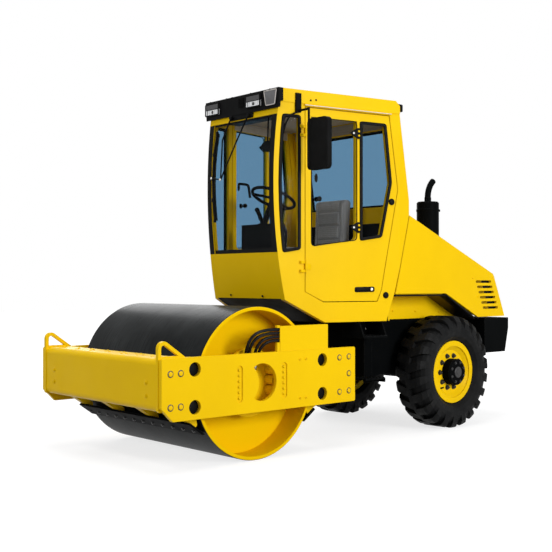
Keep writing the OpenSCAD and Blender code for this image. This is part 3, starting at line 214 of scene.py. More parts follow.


# Painted shade: on the sloping sheet behind the wheel the paint turns from a shaded brown at the top to near black at
# the foot
def archShadeMask(tree, point, look):  # the sloping sheet behind the wheel, outside the arch's wall
    x, y, z = axes(point)
    outside = maths("GREATER_THAN", maths("ABSOLUTE", y), look["shadeY"])
    sheet = maths("MULTIPLY", outside, maths("LESS_THAN", x, look["shadeX"]))
    return sheet, blendColour(spread(z, *look["shadeZ"]), look["paintedShade"], look["paintedShadeTop"])


def sprayPaint(name):
    look = paints[name]
    material, tree, shader = newMaterial(name, Specular_IOR_Level=look["gloss"])
    point = objectPoint(tree)
    clouds, wearAndHighlight, sheen, skin = (noise(point, *size) for size in paintNoise.values())
    normal = roundedNormal(tree, look["round"])
    # Edges take the edge colour where the noise allows: partly paint wear, partly a painted highlight
    wornAndHighlit = maths("MULTIPLY", nearEdge(normal), spread(wearAndHighlight, 0.4, 0.62, 0.1, 0.5))
    colour = blendColour(spread(clouds, 0.35, 0.7), look["body"], look["shade"])
    colour = blendColour(wornAndHighlit, colour, look["edge"])
    # Painted shade on the arch's sloping sheet
    if "paintedShade" in look:
        sheet, paintedShade = archShadeMask(tree, point, look)
        colour = blendColour(sheet, colour, paintedShade)
    wire(shader, Base_Color=colour, Roughness=spread(sheen, 0.3, 0.7, *look["rough"]))
    bumped(shader, skin, 0.05, 0.0006, normal)
    return material


drumLook = {
    "steel": (0.006, 0.0071, 0.0075), "polish": (0.028, 0.0303, 0.0312), "paint": (0.84, 0.53, 0.002),
    "radius": 0.5265, "centre": (-drumAxisX / 1000, 0, -0.529), "metal": 0.4, "rough": (0.24, 0.42),
    "scratches": (1.2, 130, 1), "lines": (1.0, 4, 0.65), "patches": (3.1, 4),
}


def rolledSteel():  # bare where the drum rolls, painted inside
    look = drumLook
    material, tree, shader = newMaterial("rolledSteel", Specular_IOR_Level=0.0)
    point = objectPoint(tree, look["centre"])
    x, y, z = axes(point)
    away = maths("SQRT", maths("ADD", maths("POWER", x, 2), maths("POWER", z, 2)))
    outer = spread(away, look["radius"] - 0.001, look["radius"])
    rings = addNode(tree, "CombineXYZ", X=maths("ARCTAN2", x, z), Y=y).outputs["Vector"]
    scratches = addNode(tree, "Mapping", Vector=rings, Scale=look["scratches"]).outputs["Vector"]
    lines = noise(scratches, *look["lines"])
    rubbed = maths("MULTIPLY", lines, noise(point, *look["patches"]))
    steel = blendColour(spread(rubbed, 0.14, 0.42), look["steel"], look["polish"])
    wire(shader, Base_Color=blendColour(outer, look["paint"], steel),
         Roughness=spread(lines, 0.3, 0.7, *look["rough"]),
         Metallic=maths("MULTIPLY", outer, look["metal"]))
    bumped(shader, lines, 0.12, 0.0008)
    return material


rubbers = {  # colour, colour of dust and of the lighter edges, roughness, grain and gloss
    "tyreRubber": ((0.0036, 0.0038, 0.004), (0.009, 0.009, 0.009), (0.45, 0.7), 190, 0.07),
    "windowRubber": ((0.003, 0.003, 0.0032), (0.005, 0.005, 0.0053), (0.4, 0.55), 600, 0.05),
    "blackPlastic": ((0.0036, 0.0038, 0.004), (0.0065, 0.0068, 0.007), (0.36, 0.5), 850, 0.035),
    "greyPlastic": ((0.13, 0.13, 0.135), (0.16, 0.16, 0.165), (0.4, 0.55), 700, 0.2),
    "paleEdge": ((0.58, 0.54, 0.5), (0.66, 0.62, 0.58), (0.35, 0.5), 700, 0.3),
    "hoseRubber": ((0.005, 0.005, 0.0053), (0.009, 0.009, 0.009), (0.3, 0.42), 500, 0.09),
}


def moulded(name):
    colour, dust, rough, grain, gloss = rubbers[name]
    material, tree, shader = newMaterial(name, Specular_IOR_Level=gloss)
    point = objectPoint(tree)
    normal = roundedNormal(tree, 0.003)
    clouds = spread(noise(point, 7, 6), 0.42, 0.72)
    # Lighter in random dusty clouds and towards rounded edges
    dustAndEdges = maths("MAXIMUM", clouds, maths("MULTIPLY", nearEdge(normal), 0.5))
    wire(shader, Base_Color=blendColour(dustAndEdges, colour, dust),
         Roughness=spread(noise(point, 21, 3), 0.3, 0.7, *rough))
    bumped(shader, noise(point, grain, 3), 0.25, 0.0005, normal)
    return material


metals = {  # colour, dull colour, roughness and share of metal
    "zincPlate": ((0.56, 0.55, 0.52), (0.40, 0.39, 0.37), (0.25, 0.4), 1.0),
    "blackOxide": ((0.0062, 0.006, 0.006), (0.0042, 0.0042, 0.0042), (0.35, 0.5), 0.1),
    "engineIron": ((0.16, 0.165, 0.17), (0.09, 0.09, 0.092), (0.45, 0.65), 0.3),
    "reflector": ((0.86, 0.87, 0.88), (0.72, 0.73, 0.75), (0.08, 0.2), 0.9),
    "mirrorSilver": ((0.80, 0.82, 0.84), (0.74, 0.76, 0.78), (0.02, 0.05), 1.0),
}


def bareMetal(name):
    colour, dull, rough, metal = metals[name]
    material, tree, shader = newMaterial(name, Metallic=metal)
    point = objectPoint(tree)
    clouds = spread(noise(point, 26, 5), 0.38, 0.68)
    wire(shader, Base_Color=blendColour(clouds, colour, dull),
         Roughness=spread(noise(point, 60, 3), 0.3, 0.7, *rough))
    bumped(shader, noise(point, 300, 2), 0.08, 0.0005, roundedNormal(tree, 0.002))
    return material


# The photograph's sky shows blue through the cab, so the far panes carry that blue.
glassLook = {
    "cabGlass": (0.85, 0.87, 0.883), "skyGlass": (0.40, 0.574, 0.707), "body": (0.02, 0.03, 0.04), "ior": 1.42,
    "rough": 0.03, "dust": 0.9,
}


def cabGlass(name, sides=False):  # with sides, the panes on the right carry the sky
    look = glassLook
    material, tree, shader = newMaterial(name, Base_Color=look["body"], Roughness=look["rough"])
    point = objectPoint(tree)
    clean = spread(noise(point, 1.3, 3), 0.3, 0.7, 0.96, 1.0)
    tint = blendColour(clean, tuple(look["dust"] * c for c in look[name]), look[name])
    if sides:
        onLeft = maths("GREATER_THAN", axes(point)["Y"], 0)
        tint = blendColour(onLeft, look["skyGlass"], tint)
    clear = addNode(tree, "BsdfTransparent", Color=blendColour(seenDirectly(tree), (1, 1, 1), tint))
    front = maths("LESS_THAN", addNode(tree, "NewGeometry").outputs["Backfacing"], 0.5)
    gloss = maths("MULTIPLY", addNode(tree, "Fresnel", IOR=look["ior"]).outputs[0], front)
    wire(tree.nodes["Material Output"], Surface=mixShaders(gloss, clear, shader))
    return material


waveScale = 1 / 20  # of a wave texture, for one band a metre
cloths = {
    "seatCloth": {"body": (0.26, 0.263, 0.268), "thread": (0.38, 0.383, 0.39), "pitch": 2.6},
    "headliner": {"body": (0.42, 0.37, 0.30), "thread": (0.50, 0.45, 0.37), "pitch": 3.4},
}


def wovenCloth(name):
    look = cloths[name]
    material, tree, shader = newMaterial(name, Roughness=0.88, Sheen_Weight=0.2)
    point = objectPoint(tree)
    waves = [addNode(tree, "TexWave", bands_direction=axis, Vector=point, Distortion=0.4,
                     Scale=waveScale * 1000 / look["pitch"]).outputs["Fac"] for axis in "XYZ"]
    weave = maths("MULTIPLY", maths("MULTIPLY", waves[0], waves[1]), waves[2])
    shade = maths("ADD", weave, maths("MULTIPLY", noise(point, 40, 4), 0.5))
    wire(shader, Base_Color=blendColour(spread(shade, 0.2, 0.8), look["body"], look["thread"]))
    bumped(shader, weave, 0.5, 0.001)
    return material


lensLook = {"clear": (0.86, 0.88, 0.9), "smoke": (0.03, 0.03, 0.032), "split": 2.610, "ribs": 190, "ribShade": 0.8}


def lampLens():
    look = lensLook
    material, tree, shader = newMaterial("lampLens", Roughness=0.12)
    point = objectPoint(tree)
    upper = spread(axes(point)["Z"], look["split"] - 0.001, look["split"] + 0.001)
    ribs = addNode(tree, "TexWave", bands_direction="Y", Vector=point, Scale=waveScale * look["ribs"]).outputs["Fac"]
    clear = blendColour(ribs, look["clear"], tuple(look["ribShade"] * c for c in look["clear"]))
    wire(shader, Base_Color=blendColour(upper, clear, look["smoke"]))
    bumped(shader, ribs, 0.3, 0.001)
    return material


finish = {
    **{name: sprayPaint(name) for name in paints},
    **{name: moulded(name) for name in rubbers},
    **{name: bareMetal(name) for name in metals},
    **{name: wovenCloth(name) for name in cloths},
    "rolledSteel": rolledSteel(),
    "cabGlass": cabGlass("cabGlass"),
    "skyGlass": cabGlass("skyGlass"),
    "sideGlass": cabGlass("cabGlass", True),
    "lampLens": lampLens(),
}
print("materials made:", len(finish))


# Finish of each CAD node
nodeFinish = {
    "machineYellow": """side_plate_left side_plate_right front_crossmember rear_crossmember drum_carrier_left
        drum_carrier_right scraper_front scraper_rear hose_guard cab_front cab_side_left cab_side_right cab_rear
        cab_roof rim_left rim_right door_left door_right hood""",
    "frameBlack": "scraper_blades chassis rear_axle ballast steps cab_floor hub_left hub_right muffler",
    "blackPlastic": "visor console steering_wheel cab_mirror seat_base",
    "rolledSteel": "drum",
    "tyreRubber": "tyre_left tyre_right",
    "hoseRubber": "drum_hoses",
    "archPaintAndShade": "arch_panels",
    "cabGlass": "windscreen door_glass_left",
    "skyGlass": "rear_window door_glass_right",
    "sideGlass": "quarter_windows",
    "lampLens": "roof_lamps",
    "seatCloth": "seat",
    "engineIron": "engine_block",
}


def dressNodes():
    for name, nodes in nodeFinish.items():
        for node in nodes.split():
            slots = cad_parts[node].data.materials
            slots.clear()
            slots.append(finish[name])


dressNodes()
print("nodes dressed")


# Floor, light and background
studio = {
    "floor": (0.32, 0.32, 0.32), "floorSize": 60, "nearGlow": 0.74, "glowReach": (2.0, 7.0),
    "sky": (0.97, 0.98, 1.0), "skyStrength": 0.29,
    "key": {"place": (-0.7, 9.2, 3.0), "aim": (-0.2, 0, 1.0), "size": 3.6, "power": 640},
    "front": {"place": (11.0, 0.5, 4.6), "aim": (0, 0, 1.0), "size": 4.0, "power": 330},
    "top": {"place": (1.4, 0.5, 8.5), "aim": (0.4, 0, 1), "size": 6.0, "power": 380},
    "rim": {"place": (-3.6, -6.6, 4.4), "aim": (0.6, 0, 0.9), "size": 5.0, "power": 220},
}


def newObject(name, bm):
    mesh = bpy.data.meshes.new(name)
    bm.to_mesh(mesh)
    bm.free()
    obj = bpy.data.objects.new(name, mesh)
    scene.collection.objects.link(obj)
    return obj


def makeFloor():
    bm = bmesh.new()
    bmesh.ops.create_grid(bm, x_segments=1, y_segments=1, size=studio["floorSize"] / 2)
    floor = newObject("studioFloor", bm)
    material, tree, shader = newMaterial("paleFloor", Base_Color=studio["floor"], Roughness=0.9,
                                         Specular_IOR_Level=0.1, Emission_Color=(1, 1, 1))
    away = addNode(tree, "VectorMath", operation="LENGTH", Vector=objectPoint(tree)).outputs["Value"]
    glow = spread(away, *studio["glowReach"], studio["nearGlow"], 1)
    wire(shader, Emission_Strength=maths("MULTIPLY", seenDirectly(tree), glow))
    floor.data.materials.append(material)


def makeSky():
    world = bpy.data.worlds.new("studioSky")
    scene.world = world
    world.use_nodes = True
    tree = world.node_tree
    tree.nodes.clear()
    soft = addNode(tree, "Background", Color=studio["sky"], Strength=studio["skyStrength"])
    white = addNode(tree, "Background", Color=(1, 1, 1), Strength=1.0)
    addNode(tree, "OutputWorld", Surface=mixShaders(seenDirectly(tree), soft, white))


def makeLamp(name):
    look = studio[name]
    lamp = bpy.data.lights.new(name + "Light", "AREA")
    lamp.energy, lamp.size = look["power"], look["size"]
    aimed(name + "Light", lamp, look["place"], Vector(look["aim"]) - Vector(look["place"]))


makeFloor()
makeSky()
for lampName in ("key", "front", "top", "rim"):
    makeLamp(lampName)
print("studio lit")


# Mesh helpers
def placed(bm, place):
    bmesh.ops.transform(bm, matrix=place, verts=bm.verts)
    return bm


def moved(bm, x=0, y=0, z=0):
    bmesh.ops.translate(bm, vec=(x, y, z), verts=bm.verts)
    return bm


def stretched(bm, x, y, z):
    bmesh.ops.scale(bm, vec=(x, y, z), verts=bm.verts)
    return bm


def mirrored(bm):
    bmesh.ops.reverse_faces(bm, faces=bm.faces)
    return stretched(bm, 1, -1, 1)


def facing(direction, place, spin=0):  # places a shape that stands along Z
    turn = Vector(direction).to_track_quat("Z", "Y").to_matrix().to_4x4()
    return Matrix.Translation(place) @ turn @ Matrix.Rotation(radians(spin), 4, "Z")


def joinTo(bm, part, place=None):
    if place:
        placed(part, place)
    held = bpy.data.meshes.new("held")
    part.to_mesh(held)
    part.free()
    bm.from_mesh(held)
    bpy.data.meshes.remove(held)


def rowOf(draw, sizes, direction, places, turn=0):  # a shape at each place, each turned further than the last
    bm = bmesh.new()
    for i, place in enumerate(places):
        joinTo(bm, draw(*sizes), facing(direction, place, turn * i))
    return bm


# Slot of a piece by its finish, where the piece doesn't say otherwise; makePiece looks it up but keeps it nowhere
slotOf = {
    "machineYellow": "yellow_paint", "frameBlack": "black_paint", "blackOxide": "black_paint",
    "blackPlastic": "black_plastic", "windowRubber": "black_plastic", "hoseRubber": "black_plastic",
    "reflector": "lamp", "seatCloth": "seat_cover",
}


def makePiece(name, bm, material, body="rear_frame", slotName="", sharp=35):
    bmesh.ops.recalc_face_normals(bm, faces=bm.faces)
    for v in bm.verts:
        v.co = toRow(*v.co)
    piece = newObject(name, bm)
    piece.data.materials.append(finish[material])
    piece.data.shade_smooth()
    piece.data.set_sharp_from_angle(angle=radians(sharp))
    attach(piece, body)
    if slotName == "":
        slotName = slotOf.get(material)
    return piece


def bothSides(name, material, body, draw, *sizes):  # a piece on the left and its mirror image on the right
    for side in ("left", "right"):
        bm = draw(*sizes) if side == "left" else mirrored(draw(*sizes))
        makePiece(f"{name}.{side}", bm, material, body.replace("SIDE", side))


def bevelEdges(bm, edges, offset, segments=2):
    bmesh.ops.bevel(bm, geom=edges, offset=offset, offset_type="OFFSET", affect="EDGES", segments=segments,
                    profile=0.5, material=-1, clamp_overlap=True)


def thicken(bm, step, keep=True):  # extrudes every face by a step
    new = bmesh.ops.extrude_face_region(bm, geom=bm.faces[:], use_keep_orig=keep)["geom"]
    bmesh.ops.translate(bm, vec=step, verts=[v for v in new if isinstance(v, bmesh.types.BMVert)])


def roundBox(low, high, edge=3, segments=2):
    bm = bmesh.new()
    bmesh.ops.create_cube(bm, size=1)
    stretched(bm, *(b - a for a, b in zip(low, high)))
    moved(bm, *((a + b) / 2 for a, b in zip(low, high)))
    bevelEdges(bm, bm.edges[:], edge, segments)
    return bm


def turned(profile, steps=24):  # a section of radius and height, spun about Z
    bm = bmesh.new()
    verts = [bm.verts.new((r, 0, h)) for r, h in profile]
    edges = [bm.edges.new(pair) for pair in zip(verts, verts[1:])]
    bmesh.ops.spin(bm, geom=verts + edges, cent=(0, 0, 0), axis=upward, angle=2 * pi, steps=steps, use_merge=True)
    bmesh.ops.remove_doubles(bm, verts=bm.verts, dist=0.01)
    bmesh.ops.recalc_face_normals(bm, faces=bm.faces)
    return bm


def dome(radius, high, foot=0):  # a button with a rounded face, standing along Z
    steps = 5
    arc = [(radius * cos(k * pi / 2 / steps), foot + high * sin(k * pi / 2 / steps)) for k in range(steps)]
    return turned([(0, 0), (radius, 0)] + arc + [(0, foot + high)], 24)


def hexBolt(across, high, washer=1.35):  # hexagon head on a washer, standing along Z
    disc, flat = across * washer, high * 0.2
    bm = turned([(0, 0), (disc * 0.58, 0), (disc * 0.62, 0.6), (disc * 0.6, flat), (0, flat)], 20)
    head = bmesh.new()
    bmesh.ops.create_circle(head, cap_ends=True, radius=across * 0.577, segments=6)
    thicken(head, (0, 0, high), False)
    rim = [e for e in head.edges if all(v.co.z > high * 0.9 for v in e.verts)]
    bevelEdges(head, rim, across * 0.06)
    joinTo(bm, head)
    return bm


def rect(x0, z0, x1, z1):
    return [(x0, z0), (x1, z0), (x1, z1), (x0, z1)]


def roundCorners(points, radius, steps=4):
    rounded = []
    for i, point in enumerate(points):
        corner = Vector(point)
        back = Vector(points[i - 1]) - corner
        ahead = Vector(points[(i + 1) % len(points)]) - corner
        reach = min(radius, 0.45 * back.length, 0.45 * ahead.length)
        a, b = corner + back.normalized() * reach, corner + ahead.normalized() * reach
        for k in range(steps + 1):
            t = k / steps
            rounded.append(tuple(a * (1 - t) ** 2 + corner * 2 * t * (1 - t) + b * t * t))
    return rounded


def slab(points, depth, edge=1.5):  # an outline in X and Z made thick along Y, with a rounded outer rim
    bm = bmesh.new()
    bm.faces.new([bm.verts.new((x, 0, z)) for x, z in points])
    thicken(bm, (0, depth, 0))
    bmesh.ops.recalc_face_normals(bm, faces=bm.faces)
    bevelEdges(bm, [e for e in bm.edges if all(abs(v.co.y - depth) < 1e-4 for v in e.verts)], edge)
    return bm


def plate(points, corner, depth, edge):  # a slab with rounded corners
    return slab(roundCorners(points, corner), depth, edge)


def outwardNormals(points):  # of a closed outline, lengthened at its corners
    area = sum(a[0] * b[1] - b[0] * a[1] for a, b in zip(points, points[1:] + points[:1]))
    turn = 1 if area > 0 else -1
    normals = []
    for i, point in enumerate(points):
        sides = []
        for a, b in ((points[i - 1], point), (point, points[(i + 1) % len(points)])):
            sides.append(Vector((b[1] - a[1], a[0] - b[0])).normalized() * turn)
        middle = (sides[0] + sides[1]).normalized()
        normals.append(middle / max(0.5, middle.dot(sides[0])))
    return normals


def rubberFrame(points, width, depth, lap=0):  # moulded strip round an opening, drawn in X and Z
    bm = bmesh.new()
    soft = 0.4 * depth
    nick = 0.3 * soft
    section = [(lap, 0), (lap, depth - soft), (lap - nick, depth - nick), (lap - soft, depth),
               (soft - width, depth), (nick - width, depth - nick), (-width, depth - soft), (-width, 0)]
    rings = []
    for (x, z), n in zip(points, outwardNormals(points)):
        rings.append([bm.verts.new((x + n.x * o, y, z + n.y * o)) for o, y in section])
    for ring, following in zip(rings, rings[1:] + rings[:1]):
        for k in range(len(section)):
            j = (k + 1) % len(section)
            bm.faces.new((ring[k], ring[j], following[j], following[k]))
    return bm


def ontoCabSide(bm, stand=0):  # lays a shape drawn in X and Z on the flaring cab side
    for v in bm.verts:
        v.co.y += cabSideY(v.co.x) + stand
    return bm


def toFront(bm, x):  # turns a shape drawn in X and Z to face forward, its X becoming Y
    for v in bm.verts:
        v.co = (x + v.co.y, v.co.x, v.co.z)
    bmesh.ops.reverse_faces(bm, faces=bm.faces)
    return bm


def sweptTube(points, radius, smooth=True, sides=5, caps=True):
    curve = bpy.data.curves.new("route", "CURVE")
    curve.dimensions, curve.bevel_depth, curve.bevel_resolution = "3D", radius, sides
    curve.use_fill_caps, curve.resolution_u = caps, 6
    spline = curve.splines.new("NURBS" if smooth else "POLY")
    spline.points.add(len(points) - 1)
    for end, point in zip(spline.points, points):
        end.co = (*point, 1)
    if smooth:
        spline.use_endpoint_u, spline.order_u = True, min(4, len(points))
    holder = bpy.data.objects.new("route", curve)
    mesh = holder.to_mesh()
    bm = bmesh.new()
    bm.from_mesh(mesh)
    bmesh.ops.remove_doubles(bm, verts=bm.verts, dist=0.001)
    holder.to_mesh_clear()
    bpy.data.objects.remove(holder)
    bpy.data.curves.remove(curve)
    return bm


# Hydraulic hoses from the guard to the drum's drive, along the same curves as their CAD solids
hoseLook = {
    "radius": 11, "start": -198, "y": 747, "top": 906.2, "pitch": 25.3, "guard": -165, "reach": (250, 226, 176, 150),
    "inner": 726, "portY": 651, "portZ": 636, "points": 29, "bore": 10, "ferrule": 14.5, "ferruleLength": 34,
}


def hoseRoute(i):
    look = hoseLook
    r, z, x = look["radius"], look["top"] - look["pitch"] * (i + 0.5), look["guard"] + look["reach"][i]
    a, b, c, d = map(Vector, ((look["start"], look["y"], z), (x, look["y"], z + r), (x + r, look["inner"], z - 3 * r),
                              (x - r, look["portY"], look["portZ"] - 6 * i)))
    route = []
    for k in range(look["points"]):
        t = k / (look["points"] - 1)
        s = 1 - t
        route.append(a * s ** 3 + b * 3 * t * s ** 2 + c * 3 * t * t * s + d * t ** 3)
    return route


def makeHoses():
    look = hoseLook
    crimps = bmesh.new()
    bore, r, long = look["bore"], look["ferrule"], look["ferruleLength"]
    sleeve = [(bore, 0), (r, 0), (r, 4), (r - 1, 5), (r - 1, long * 0.4), (r, long * 0.45), (r, long - 3),
              (r - 2, long), (bore, long), (bore, 0)]
    for i in range(len(look["reach"])):
        route = hoseRoute(i)
        tube = sweptTube(route, look["radius"], False, 6)
        hose = makePiece(f"drumHose.{i + 1}", tube, "hoseRubber", "front_frame", sharp=60)
        if i == 0:
            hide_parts("drum_hoses")
        joinTo(crimps, turned(sleeve, 20), facing(route[-3] - route[-1], route[-1]))
    makePiece("hoseCrimps", crimps, "zincPlate", "front_frame")


makeHoses()
print("hoses made")


# Window rubbers: a strip's corner radius, width, depth and lap over the panel
windowTrim = {
    "quarter": [(-653, 2486), (-504, 2486), (-489, 2350), (-477, 2160), (-472, 1976), (-477, 1790), (-489, 1610),
                (-506, 1450), (-653, 1474)],
    "rearPane": [(-1194, 2486), (-1437, 2486), (-1490, 2020), (-1394, 1584), (-1194, 1552)],
    "frontPane": [(-749, 2486), (-1166, 2486), (-1166, 1552), (-749, 1498)],
    "rearWindow": rect(-480, 1850, 480, 2470),
    "wide": (22, 20, 9, 4), "slim": (34, 7, 4, 0), "rear": (24, 20, 9, 4), "stand": 0.5,
}


def drawRubber(name, kind):
    corner, *strip = windowTrim[kind]
    return rubberFrame(roundCorners(windowTrim[name], corner), *strip)


def drawSideRubber(name, kind):
    return ontoCabSide(drawRubber(name, kind), windowTrim["stand"])


def makeWindowTrim():
    for name, kind, body in (("quarter", "wide", "rear_frame"), ("rearPane", "wide", "door_SIDE"),
                             ("frontPane", "slim", "door_SIDE")):
        bothSides(name + "Rubber", "windowRubber", body, drawSideRubber, name, kind)
    bm = drawRubber("rearWindow", "rear")
    for v in bm.verts:
        v.co = (rearWallX(v.co.z) + windowTrim["stand"] - v.co.y, v.co.x, v.co.z)
    makePiece("rearWindowRubber", bm, "windowRubber")


makeWindowTrim()


# Black printed band round the windscreen, over the glass and the posts beside it
screenBand = {"half": 349, "low": 1450.5, "high": 2485.5, "side": 3, "foot": 30, "head": 16, "thick": 1.2,
              "recess": 10, "rows": 24, "stand": 0.2, "edge": 0.8}


def makeScreenBand():
    band = screenBand
    bm = bmesh.new()
    half, low, high, side, rows = band["half"], band["low"], band["high"], band["side"], band["rows"]
    foot, head = low + band["foot"], high - band["head"]
    for z0, z1, y0, y1, stand in (
        (low, foot, -half, half, 0), (head, high, -half, half, 0),
        (foot, head, -half, side - half, 0), (foot, head, half - side, half, 0),
        (low, high, half + 1, cabFrontHalf, band["recess"]), (low, high, -cabFrontHalf, -half - 1, band["recess"]),
    ):
        part = roundBox((0, y0, z0), (band["thick"], y1, z1), 0.3, 1)
        for k in range(1, rows):
            bmesh.ops.bisect_plane(part, geom=part.verts[:] + part.edges[:] + part.faces[:],
                                   plane_co=(0, 0, z0 + (z1 - z0) * k / rows), plane_no=upward)
        for v in part.verts:
            v.co.x += screenX(v.co.z, stand + band["stand"])
            if abs(v.co.y) > cabFrontHalf - 1:
                v.co.y *= (cabSideY(v.co.x) - band["edge"]) / abs(v.co.y)
        joinTo(bm, part)
    makePiece("screenBand", bm, "windowRubber")


makeScreenBand()
print("window trim made")


# Wheel nuts, hub cover and valve
wheelTrim = {
    "axle": (-2184, 470), "face": 670, "nutRing": 138, "nuts": 10, "nut": (27, 20), "hubFace": 753, "coverBolts": 8,
    "coverRing": 84, "coverBolt": (14, 7), "stud": [(0, 0), (8, 0), (8, 25), (6, 28), (0, 28)],
    "plug": [(0, 0), (46, 0), (46, 3), (42, 6), (24, 6), (22, 9), (0, 9)],
    "valve": [(145, 669, -134), (141, 692, -130), (132, 708, -122)], "valveRadius": 7,
}


def roundAxle(radius, count, y, shift=0):  # places round the wheel's axle
    x, z = wheelTrim["axle"]
    angles = [2 * pi * (i + shift) / count for i in range(count)]
    return [(x + radius * cos(a), y, z + radius * sin(a)) for a in angles]


def drawWheelNuts():
    trim = wheelTrim
    x, z = trim["axle"]
    nuts = roundAxle(trim["nutRing"], trim["nuts"], trim["face"])
    cover = roundAxle(trim["coverRing"], trim["coverBolts"], trim["hubFace"], 0.5)
    bm = rowOf(hexBolt, trim["nut"], leftward, nuts, 17)
    joinTo(bm, rowOf(turned, (trim["stud"], 12), leftward, nuts))
    joinTo(bm, rowOf(hexBolt, trim["coverBolt"], leftward, cover, 23))
    joinTo(bm, turned(trim["plug"], 32), facing(leftward, (x, trim["hubFace"], z)))
    return bm


def drawValve():
    x, z = wheelTrim["axle"]
    return sweptTube([(x + dx, y, z + dz) for dx, y, dz in wheelTrim["valve"]], wheelTrim["valveRadius"])


bothSides("wheelNuts", "blackOxide", "wheel_SIDE", drawWheelNuts)
bothSides("tyreValve", "blackPlastic", "wheel_SIDE", drawValve)


# Bolts of the drum's frame
frameBolts = {
    "groove": {"x": (-202, 202), "z": (446, 483, 521, 559, 597, 634), "y": 759, "bolt": (15, 7)},
    "plate": [(769, 643), (689, 643), (769, 430), (689, 430), (-752, 669), (-752, 417), (-851, 672), (-851, 547),
              (-851, 419)],
    "plateY": 767, "head": (31, 5, 1.0),
    # ring: a dark ring under each plate bolt, a painted shadow round the head
    "ring": [(14, -0.5), (23, -0.5), (23, 0.8), (22, 1.3), (14, 1.3), (14, -0.5)],
    "screws": [(-353, 678), (-353, 403), (-411, 678), (-411, 403)],
    "screw": [(3.5, 2), (5, 5.5), (9, 5), (10.5, 2.5), (10.5, 0), (3.5, 0), (3.5, 2)],
    "beam": [(838, 595, 583), (838, 595, 497), (838, -595, 583), (838, -595, 497)], "beamBolt": (18, 9, 1.6),
    "beamTop": {"z": 742, "bolt": (15, 6, 1.4),
                "rows": ((738, (-420, -210, 0, 210, 420)), (690, (-315, -105, 105, 315, 525)))},
}


def onPlate(name):
    return [(x, frameBolts["plateY"], z) for x, z in frameBolts[name]]


def drawPlateBolts():
    look, groove = frameBolts, frameBolts["groove"]
    bm = rowOf(hexBolt, look["head"], leftward, onPlate("plate"), 19)
    joinTo(bm, rowOf(turned, (look["screw"], 16), leftward, onPlate("screws")))
    for x in groove["x"]:
        column = [(x, groove["y"], z) for z in groove["z"]]
        joinTo(bm, rowOf(hexBolt, groove["bolt"], leftward, column, 31))
    return bm


# Painted shadow: dark rings under the plate bolts, standing for the shade round each head
def drawBoltShadowRings():
    return rowOf(turned, (frameBolts["ring"], 28), leftward, onPlate("plate"))


def makeBeamBolts():
    look, top = frameBolts, frameBolts["beamTop"]
    bm = rowOf(hexBolt, look["beamBolt"], forward, look["beam"], 13)
    for x, row in top["rows"]:
        joinTo(bm, rowOf(hexBolt, top["bolt"], upward, [(x, y, top["z"]) for y in row], 29))
    makePiece("beamBolts", bm, "machineYellow", "front_frame")


bothSides("plateBolts", "machineYellow", "front_frame", drawPlateBolts)
bothSides("plateBoltShadows", "blackOxide", "front_frame", drawBoltShadowRings)
makeBeamBolts()
print("wheels and frame bolted")


# Visor: lamp bezels, bulbs, vent, side panel and studs
visorTrim = {
    "lamps": ((71.9, 236.9), (-433.0, -268.0)), "lampZ": (2564, 2656), "rim": 2, "rimRound": 12,
    "bezel": (8, 4, 3), "bezelX": -432.5, "divider": (2607, 2612), "inset": 5, "post": (24, 29), "postFoot": 6,
    "bar": (2, 0.6), "barX": -431.2, "bulb": (13, 3, 0.4), "bulbShift": 8, "bulbZ": 2588,
    "panel": [(300, 2552), (404, 2552), (424, 2668), (276, 2668)], "panelForm": (10, 5, 2), "panelX": -441.4,
    "edging": (7, 2), "edgingX": -436.6,
    "vent": range(-30, 40, 10), "ventZ": (2580, 2652), "fin": (3, 0.8), "finWide": 4, "finX": -441.5,
    "studs": (-398, -190, -120, 105, 330), "stud": (7, 4, 3), "studX": -455, "studZ": 2676,
}


def makeVisorTrim():
    trim = visorTrim
    (z0, z1), (low, high), (post0, post1) = trim["lampZ"], trim["divider"], trim["post"]
    rim, inset = trim["rim"], trim["inset"]
    bezels, bulbs = bmesh.new(), bmesh.new()
    for y0, y1 in trim["lamps"]:
        outline = roundCorners(rect(y0 - rim, z0 - rim, y1 + rim, z1 + rim), trim["rimRound"])
        joinTo(bezels, toFront(rubberFrame(outline, *trim["bezel"]), trim["bezelX"]))
        for bar in (rect(y0 + inset, low, y1 - inset, high),
                    rect(y0 + post0, z0 + trim["postFoot"], y0 + post1, low)):
            joinTo(bezels, toFront(slab(bar, *trim["bar"]), trim["barX"]))
        place = (trim["barX"], (y0 + y1) / 2 + trim["bulbShift"], trim["bulbZ"])
        joinTo(bulbs, dome(*trim["bulb"]), facing(forward, place))
    for y in trim["vent"]:
        fin = slab(rect(y, trim["ventZ"][0], y + trim["finWide"], trim["ventZ"][1]), *trim["fin"])
        joinTo(bezels, toFront(fin, trim["finX"]))
    makePiece("lampBezels", bezels, "blackPlastic")
    makePiece("lampBulbs", bulbs, "blackOxide", "rear_frame", "black_plastic")
    panel = plate(trim["panel"], *trim["panelForm"])
    makePiece("visorPanel", toFront(panel, trim["panelX"]), "greyPlastic")
    edging = rubberFrame(roundCorners(trim["panel"], trim["panelForm"][0]), *trim["edging"])
    makePiece("visorEdging", toFront(edging, trim["edgingX"]), "paleEdge")
    studs = [(trim["studX"], y, trim["studZ"]) for y in trim["studs"]]
    makePiece("visorStuds", rowOf(dome, trim["stud"], upward, studs), "blackPlastic")


makeVisorTrim()


# Mirror: its glass and a pale rim on the rear side, the rim a painted highlight along the mirror's edge, and the bent
# stay on the cab's corner
mirrorTrim = {
    "outline": rect(556, 2070, 754, 2435), "back": -678, "round": 32, "glass": (-2.5, 0.6), "rim": (9, 6, 4),
    "stay": [(-645, 462, 2512), (-600, 452, 2506), (-548, 442, 2470), (-520, 434, 2420), (-505, 424, 2350),
             (-499, 417, 2312)],
    "stayRadius": 7,
}


